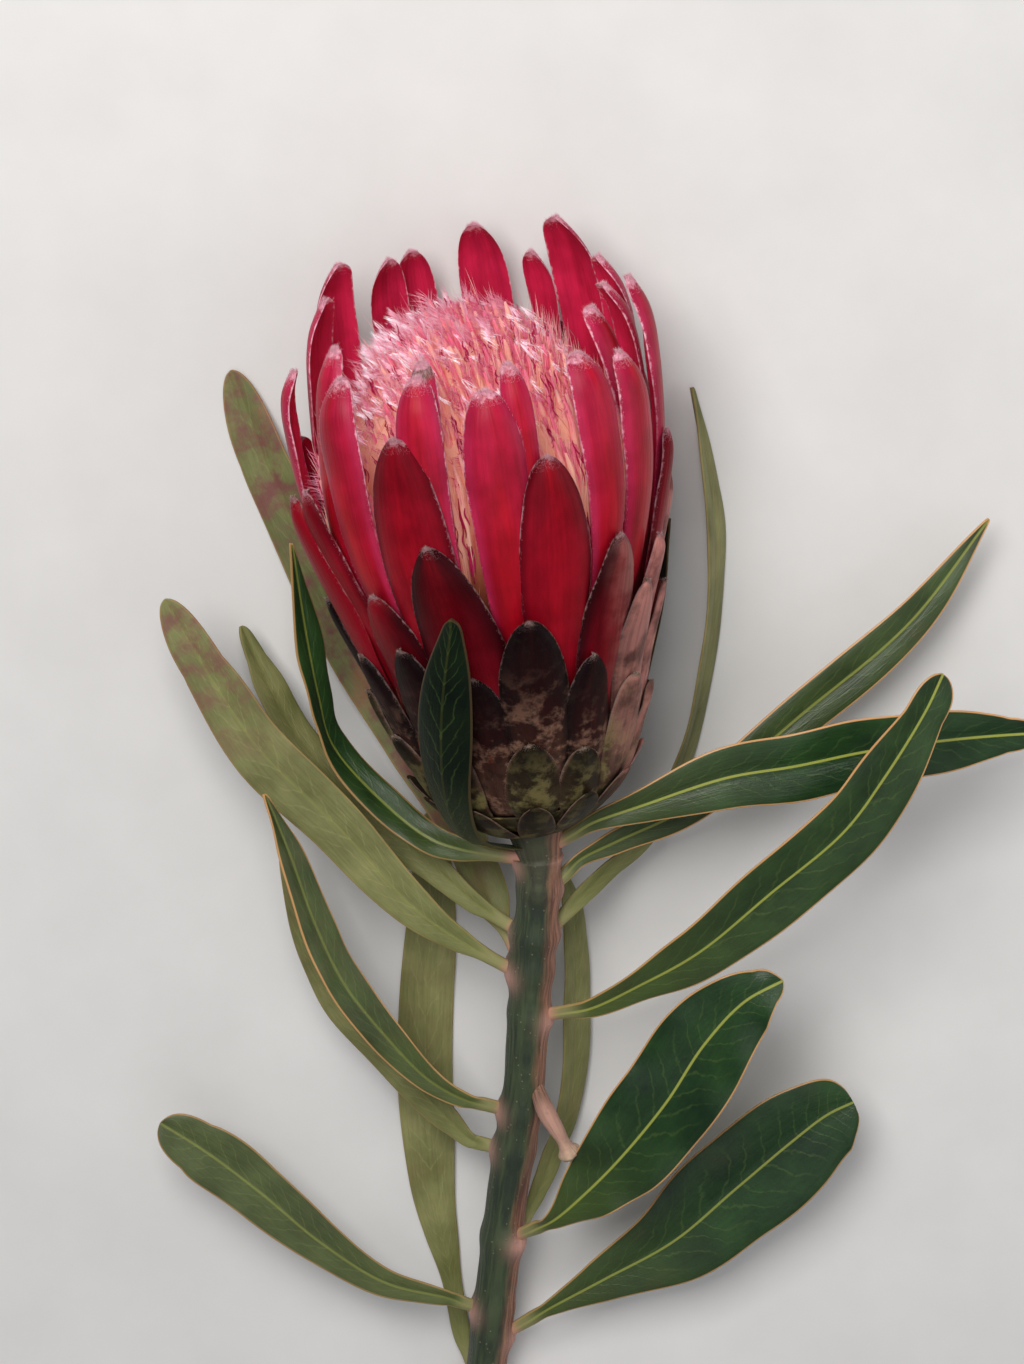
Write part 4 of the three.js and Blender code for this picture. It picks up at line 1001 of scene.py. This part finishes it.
def leaf_section(u, face, half, width_at_one, opened, fold, wave, t, seed):
    """Heights over the midrib line across a leaf.

    Fold: |u| * half * tan(fold). Wave: wave * sin along the margin * |u|^1.6. Thickness: an ellipse for the
    stalk, for the blade 0.66 mm thinning to a round margin; midrib: a bell of 0.55 mm below, a groove above.
    """
    lift = np.abs(u) * half * np.tan(np.radians(fold)) * opened
    beat = np.sin(21 * t + 9 * seed + 1.3 * np.sign(u)) + 0.6 * np.sin(47 * t + 5 * seed * np.sign(u))
    lift = lift + 0.6 * wave * beat * np.abs(u) ** 1.6 * opened * smooth(width_at_one, 0.2, 0.8)
    lift = lift - 0.10 * half * np.abs(u) ** 3 * opened
    stalk = 0.95 * np.sqrt(held(1 - u**2)) + 0.05
    blade = 0.26 * np.sqrt(held(1 - u**6)) + 0.07
    rib = np.exp(-((u * half / 0.55) ** 2))
    ridge = np.where(face > 0, -0.16 * rib, 0.5 * rib * (1 - 0.6 * t))
    return lift + face * (stalk * (1 - opened) + (blade + ridge) * opened)


def leaf_loft(rings, around, along, seed, face, half, look, marks):
    """A leaf's surface with the fields that the leaf materials read."""
    return loft(rings[None], {"grain": grain(around, along, seed)[None], "face": face,
                              "span": half[None, ..., None], "look": np.array(look, float),
                              "marks": np.array(marks, float)})


def leaf_blade(name, stations=110, points=17):
    """A leaf along its midrib: the table's half widths, closed round at the tip, sections turned by the roll.

    Half width past t = 0.87 is at least blunt * its value there * (1 - ((t - 0.87) / 0.13)^2.4)^0.5.
    """
    (y, angle), fold, wave, blunt, look, marks, rows = LEAVES[name]
    rows = filled(rows, 5)
    seed = (ord(name[-1]) % 17) / 17
    out = np.array([np.sin(np.radians(angle)), 0, np.cos(np.radians(angle))])
    seat = stem_point(y) + out * (STEM_RADIUS - 1)
    line = np.vstack([seat, (seat + rows[0, :3]) / 2, rows[:, :3]])
    columns = np.column_stack([np.linspace(0, 1, len(line)), np.vstack([[1.3, 0], [1.4, 0], rows[:, 3:]])])
    t = 1 - (1 - np.linspace(0, 0.9985, stations)) ** 1.3
    centre, along = spline(line, t)
    start = 0.87
    rounding = (1 - held((t - start) / (1 - start)) ** 2.4) ** 0.5
    full, half = through(columns, np.array(start)), through(columns, t)
    tips = (np.maximum(half * rounding**0.5, kept * full * rounding) for kept in blunt)
    left, right = (np.where(t > start, np.clip(tip, 0, full), half)[:, None] for tip in tips)
    roll = np.radians(through(columns, t, 2))
    up = unit(np.array([0, 0, 1.0]) - along[:, 2:] * along)
    up = circle(roll, up, np.cross(along, up))
    side = np.cross(along, up)
    around, face, outer = section(points)
    half, t = np.where(around < 0, left, right), t[:, None]
    ragged = 1 + 0.025 * np.sin(31 * t + 7 * seed + np.sign(around))
    opened = smooth(t, 0.1, 0.25)
    height = leaf_section(around, face, half, rounding[:, None], opened, fold, wave, t, seed)
    rings = centre[:, None] + side[:, None] * (around * half * ragged)[..., None]
    rings = rings + up[:, None] * height[..., None]
    rings[..., 2] -= np.minimum(rings[..., 2].min(1), 0)[:, None]
    return leaf_loft(rings, around, t, seed, outer, half, look, marks)


def bud_blade(name, stations=80, points=15):
    """A young leaf along the head, read from its table; its section follows the head's round."""
    rows = HEAD_LEAVES[name]
    columns = np.column_stack([np.linspace(0, 1, len(rows)), rows])
    t = np.linspace(0, 0.996, stations)[:, None]
    azimuth, height, radius, half = (through(columns, t, c) for c in (1, 2, 3, 4))
    half = np.maximum(half, 0.9) * (1 - held((t - 0.92) / 0.08) ** 2.2) ** 0.6
    around, face, _ = section(points)
    rib = np.exp(-((around * half / 0.6) ** 2))
    thickness = 0.3 * np.sqrt(held(1 - around**6)) + 0.08 + 0.25 * rib * (face > 0)
    radius = radius - 0.16 * half * around**2 + face * thickness + 0.2 * np.sin(17 * t) * around
    turn = azimuth + np.degrees(around * half / np.maximum(radius, 5))
    rings, outside = head_point(turn, height, radius), np.ones((1, 1, 1, 1))
    return leaf_loft(rings, around, 0.2 + 0.8 * t, 0.4, outside, half, (0, 0.05, 0.08), (0, 1, 0))


# ---- stem ------------------------------------------------------------------------------------------


def rings_round(centre, along, turn, size):
    """Circles round a line, turned from the side that faces up."""
    right = unit(np.array([1.0, 0, 0]) - along[:, :1] * along)
    return centre[:, None] + size[..., None] * circle(turn, np.cross(right, along)[:, None], right[:, None])


def stem_surface(stations=330, sides=64):
    """The stem: swollen at its nodes and under each stalk, with fine ridges; then the receptacle.

    Swelling: 0.3 * exp(-(dy / 2.4)^2), and 0.85 * exp(-(dy / 2.8)^2 - (turn / 34 degrees)^2) under a stalk.
    """
    centre, along = spline(STEM_LINE, np.linspace(0, 1, stations))
    height = (centre - HEAD_BASE) @ HEAD_AXIS
    below = height < RECEPTACLE[0][0]
    centre, along, height = centre[below], along[below], height[below]
    turn = np.linspace(0, 2 * np.pi, sides, endpoint=False)[None]
    y = centre[:, 1:2]
    grown = np.minimum(1, (y - y[0]) / 15)
    radius = np.full((len(centre), sides), float(STEM_RADIUS))
    node = np.zeros_like(radius)
    for (place, angle), *_ in LEAVES.values():
        away = (np.degrees(turn) - angle + 180) % 360 - 180
        pad = np.exp(-(((y - place + 0.8) / 2.8) ** 2) - (away / 34) ** 2)
        radius = radius + 0.3 * np.exp(-(((y - place) / 2.4) ** 2)) * grown
        radius = radius + 0.85 * pad * grown
        node = np.maximum(node, pad)
    radius = radius + 0.10 * ripple(3, 5 * np.cos(turn), 5 * np.sin(turn), y * 0.5)
    radius = radius + 0.06 * ripple(4, 16 * np.cos(turn), 16 * np.sin(turn), y * 0.25)
    lower = rings_round(centre, along, turn, radius)
    inner, outer = np.array([[0.95, 0.5, 0.07], [0.05, 0.5, 0.93]])[..., None, None]
    cut = lower[:1] * outer + centre[:1, None] * inner
    h = np.linspace(RECEPTACLE[0][0], RECEPTACLE[-1][0], 34)[:, None]
    rings = np.concatenate([cut, lower, head_point(np.degrees(turn), h, through(RECEPTACLE, h))])
    top = 3 + len(lower)
    marks = np.zeros((len(rings), sides, 3))
    # The right-facing side, which takes the red brown and its painted light.
    marks[..., 0] = 0.5 + 0.5 * np.sin(turn)
    marks[3:top, :, 1] = np.maximum(node, 0.06 * smooth(height, -22, -9)[:, None])
    marks[top:, :, 1] = 0.06
    marks[:3, :, 2] = 1
    length = np.concatenate([np.zeros(3), np.linspace(0, 1, len(rings) - 3)])[:, None]
    rings[..., 2] = np.maximum(rings[..., 2], 0.0)
    return loft(rings[None], {"grain": grain(np.cos(turn) * 0.7, length, 0.3)[None], "look": marks[None]})


def stub_surface(stations=26, sides=28):
    """The broken stalk: a swollen start, a bent waist and a knob with a ragged, sunken end."""
    t = np.linspace(0, 1, stations)
    centre, along = spline(STUB_LINE, t)
    size = through(STUB_SIZES, t)[:, None]
    turn = np.linspace(0, 2 * np.pi, sides, endpoint=False)[None]
    size = size * (1 + 0.24 * ripple(8, 2 * np.cos(turn), 2 * np.sin(turn), t[:, None] * 9))
    rings = rings_round(centre, along, turn, size)
    rings[-1] += 0.45 * ripple(9, 4 * np.cos(turn), 4 * np.sin(turn))[0][:, None] * along[-1]
    inner = centre[-1] + 0.6 * (rings[-1] - centre[-1]) - 0.5 * along[-1]
    rings = np.concatenate([rings, inner[None]])
    marks = np.zeros((len(rings), sides, 3))
    marks[..., 0] = 0.9
    marks[:-1, :, 1] = through([[0, 0], [0.25, 0.05], [0.45, 0.7], [1, 0.8]], t)[:, None]
    marks[:-1, :, 2] = through([[0, 0], [0.5, 0.08], [0.8, 0.3], [1, 0.6]], t)[:, None]
    marks[-1, :, 2] = 0.9
    length = np.linspace(0, 0.2, len(rings))[:, None]
    return loft(rings[None], {"grain": grain(np.cos(turn) * 0.7, length, 0.8)[None], "look": marks[None]})


# ---- the flower ------------------------------------------------------------------------------------

# Each whorl: slot; wool: hairs on each tip, on its margins, length, colours of foot and end; skin.
WHORL_LOOKS = {
    "bracts_inner": ("bract_pink", (900, 300, 0.75, (0.86, 0.36, 0.46), (0.98, 0.78, 0.84)), dict(
        # Darker towards the root: partly the bracts' own colour, partly painted shade where the outer whorls
        # cover them.
        along=[(0, (0.19, 0.002, 0.006)), (0.45, (0.33, 0.003, 0.014)), (1, (0.45, 0.013, 0.056))],
        edge=(0.44, 0.020, 0.075), glow=(0.41, 0.004, 0.012), inside=(0.58, 0.018, 0.075),
        felted=(0.84, 0.46, 0.55), margin=0.035, tip=0.026, gloss=0.12, sheen=0.02)),
    "bracts_middle": ("bract_crimson", (620, 300, 0.55, (0.55, 0.20, 0.25), (0.86, 0.64, 0.68)), dict(
        along=[(0, (0.16, 0.002, 0.006)), (0.5, (0.28, 0.003, 0.012)), (1, (0.16, 0.003, 0.011))],
        edge=(0.12, 0.002, 0.008), glow=(0.34, 0.004, 0.014), inside=(0.45, 0.010, 0.040),
        felted=(0.40, 0.20, 0.23), margin=0.03, tip=0.018, rim=0.75, gloss=0.06)),
    "bracts_lower": ("bract_red", (480, 260, 0.50, (0.34, 0.15, 0.16), (0.68, 0.50, 0.50)), dict(
        along=[(0, (0.20, 0.012, 0.018)), (0.5, (0.15, 0.002, 0.008)), (1, (0.016, 0.002, 0.003))],
        edge=(0.030, 0.002, 0.004), glow=(0.22, 0.004, 0.010), inside=(0.20, 0.006, 0.014),
        felted=(0.26, 0.15, 0.15), margin=0.03, tip=0.014, gloss=0.05, right_side_light=(0.50, 0.20, 0.175),
        flushed=(0.24, 0.003, 0.011))),
    "bracts_dark": ("bract_dark", (360, 240, 0.45, (0.26, 0.16, 0.14), (0.58, 0.44, 0.40)), dict(
        along=[(0, (0.12, 0.062, 0.040)), (0.55, (0.020, 0.006, 0.006)), (1, (0.004, 0.002, 0.003))],
        edge=(0.009, 0.005, 0.005), glow=(0.030, 0.008, 0.007), inside=(0.10, 0.02, 0.02),
        felted=(0.13, 0.085, 0.080), margin=0.04, tip=0.010, gloss=0.04, right_side_light=(0.50, 0.21, 0.18),
        mottle=((0.20, 0.105, 0.070), 0.47, 0.85))),
    "bracts_base": ("bract_scale", (260, 240, 0.45, (0.26, 0.18, 0.13), (0.54, 0.43, 0.36)), dict(
        along=[(0, (0.055, 0.045, 0.020)), (0.5, (0.040, 0.028, 0.015)), (1, (0.009, 0.007, 0.005))],
        edge=(0.09, 0.050, 0.035), glow=(0.018, 0.017, 0.008), inside=(0.05, 0.04, 0.02),
        felted=(0.15, 0.105, 0.085), margin=0.05, tip=0.018, gloss=0.04, rim=0.85,
        right_side_light=(0.50, 0.22, 0.185), mottle=((0.14, 0.115, 0.045), 0.46, 1.1))),
}

for name, (slot, (on_tip, on_margin, length, foot, end), look) in WHORL_LOOKS.items():
    whorl = whorl_values(name)
    if name == "bracts_inner":
        look["dried"] = to_row(bract_point(whorl, DRIED_BRACT, 0.99, 0.0, 1.0))
    skins = [cup_ring(whorl), bract_blades(whorl)] + ([scale_blades()] if name == "bracts_base" else [])
    make(name + "_skins", joined(*skins), bract_material(name + "_skin", **look), slot, name)
    wool = wool_material(name + "_wool", foot, end, None, 0.07)
    make(name + "_tip_wool", bract_wool(whorl, on_tip, length, True, on_tip), wool, slot)
    make(name + "_margin_wool", bract_wool(whorl, on_margin, length, False, on_margin + 1), wool, slot)

florets = floret_values()
crown_florets = np.flatnonzero(florets.radius < CROWN_RADIUS)
outer_florets = np.flatnonzero(florets.radius >= CROWN_RADIUS)
floret_skin = floret_material(
    "floret_skin", 0.65, 0.15, (0.16, 0.03, 0.014), (0.36, 0.10, 0.048), (0.76, 0.31, 0.225),
    (0.97, 0.59, 0.44), (0.96, 0.46, 0.40), (0.88, 0.17, 0.30))
silk_skin = floret_material(
    "silk_skin", 0.3, 0.15, (0.20, 0.045, 0.02), (0.44, 0.14, 0.07), (0.88, 0.43, 0.335),
    (1.0, 0.71, 0.58), (1.0, 0.58, 0.55), (0.94, 0.30, 0.44))
# Tufts and wisps: their white and glow are partly painted highlight, the wisps' strong glow most of all.
tuft_wool = wool_material("tuft_wool", (0.78, 0.08, 0.22), (0.93, 0.28, 0.43), (1.0, 0.68, 0.78), 0.12, 0.35)
wisp_wool = wool_material("wisp_wool", (0.86, 0.22, 0.40), (0.97, 0.50, 0.64), (1.0, 0.93, 0.97), 0.32)
thread_wool = wool_material("thread_skin", (0.46, 0.008, 0.07), (0.58, 0.025, 0.13), None, 0.05)
make("floret_bodies", joined(floret_core(), floret_bodies(florets)), floret_skin, "floret", "florets")
make("floret_silk", floret_silk(florets, 9500, 8, 31), silk_skin, "floret")
make("floret_crown_tufts", floret_tufts(florets, crown_florets, 20, 1.0, 23), tuft_wool, "floret")
make("floret_outer_tufts", floret_tufts(florets, outer_florets, 12, 0.75, 24), tuft_wool, "floret")
make("floret_wisps", floret_wisps(florets), wisp_wool, "floret")
make("floret_threads", floret_threads(florets), thread_wool, "floret")

leaf_skin = leaf_material("leaf_skin", (0.004, 0.020, 0.005), (0.018, 0.055, 0.012), 0.3)
for name in LEAVES:
    make(name + "_blade", leaf_blade(name), leaf_skin, "leaf", name)
# Painted shade: the buds' skin is a darker copy of the leaf skin, as they lie in the head's shade.
bud_skin = leaf_material("bud_skin", (0.001, 0.005, 0.002), (0.006, 0.013, 0.004), 0.1)
for name in HEAD_LEAVES:
    make(name + "_blade", bud_blade(name), bud_skin, "leaf_young", name)

make("stem_wood", joined(stem_surface(), stub_surface()), stem_material(), "stem", "stem")

# ---- floor, light and camera -----------------------------------------------------------------------


def linked(name, data):
    """A new object in the scene."""
    thing = bpy.data.objects.new(name, data)
    bpy.context.scene.collection.objects.link(thing)
    return thing


def paper_floor():
    """A plain pale sheet of paper, 10 m across, just under the flower."""
    mesh = bpy.data.meshes.new("paper")
    corners = [(x * 5.0, y * 5.0, 0) for x, y in ((-1, -1), (1, -1), (1, 1), (-1, 1))]
    mesh.from_pydata(corners, [], [(0, 1, 2, 3)])
    thing = linked("paper", mesh)
    thing.location.z = -0.0002
    material, shader = finish_material("paper", Roughness=0.9)
    tone = cloud(object_place(shader), 40, 4)
    connect(shader, Base_Color=ramp(tone, (0.3, (0.60, 0.59, 0.575)), (0.7, (0.64, 0.63, 0.615))))
    mesh.materials.append(material)


def soft_light(name, place, target, size, power, colour):
    """A square soft light at a place, turned to its target, in metres and watts."""
    lamp = bpy.data.lights.new(name, "AREA")
    lamp.size, lamp.energy, lamp.color = size, power, colour
    thing = linked(name, lamp)
    thing.location = place
    thing.rotation_euler = (Vector(target) - Vector(place)).to_track_quat("-Z", "Y").to_euler()


CAMERA_TILT = np.radians(15)       # off the vertical, towards the flower's tip
CAMERA_DISTANCE = 700
CAMERA_TARGET = np.array([0, 0, 30.0])


def photo_camera():
    """A 100 mm lens that looks down on the flower: place = target + distance * view direction."""
    back = np.array([0, np.sin(CAMERA_TILT), np.cos(CAMERA_TILT)])
    up = np.array([0, np.cos(CAMERA_TILT), -np.sin(CAMERA_TILT)])
    camera = bpy.data.cameras.new("camera")
    camera.lens, camera.sensor_fit, camera.sensor_height = 100, "VERTICAL", 36
    thing = linked("camera", camera)
    turn = Matrix((np.cross(up, back), up, back)).transposed().to_4x4()
    place = to_row(CAMERA_TARGET + CAMERA_DISTANCE * back)
    thing.matrix_world = Matrix.Translation(Vector(place)) @ turn
    bpy.context.scene.camera = thing


paper_floor()
photo_camera()
soft_light("key", (-0.15, 0.36, 0.58), (-0.02, 0.08, 0.04), 0.34, 4.3, (1, 0.98, 0.96))
soft_light("fill", (0.10, -0.20, 0.90), (0, 0, 0.02), 0.9, 1.7, (0.97, 0.98, 1))
soft_light("side", (0.52, 0.10, 0.24), (0, 0.06, 0.03), 0.35, 0.8, (1, 0.97, 0.95))
world = bpy.data.worlds.new("studio")
world.use_nodes = True
background = world.node_tree.nodes["Background"].inputs
background["Color"].default_value = (0.9, 0.93, 1, 1)
background["Strength"].default_value = 0.24
bpy.context.scene.world = world
bpy.context.scene.view_settings.view_transform = "Standard"
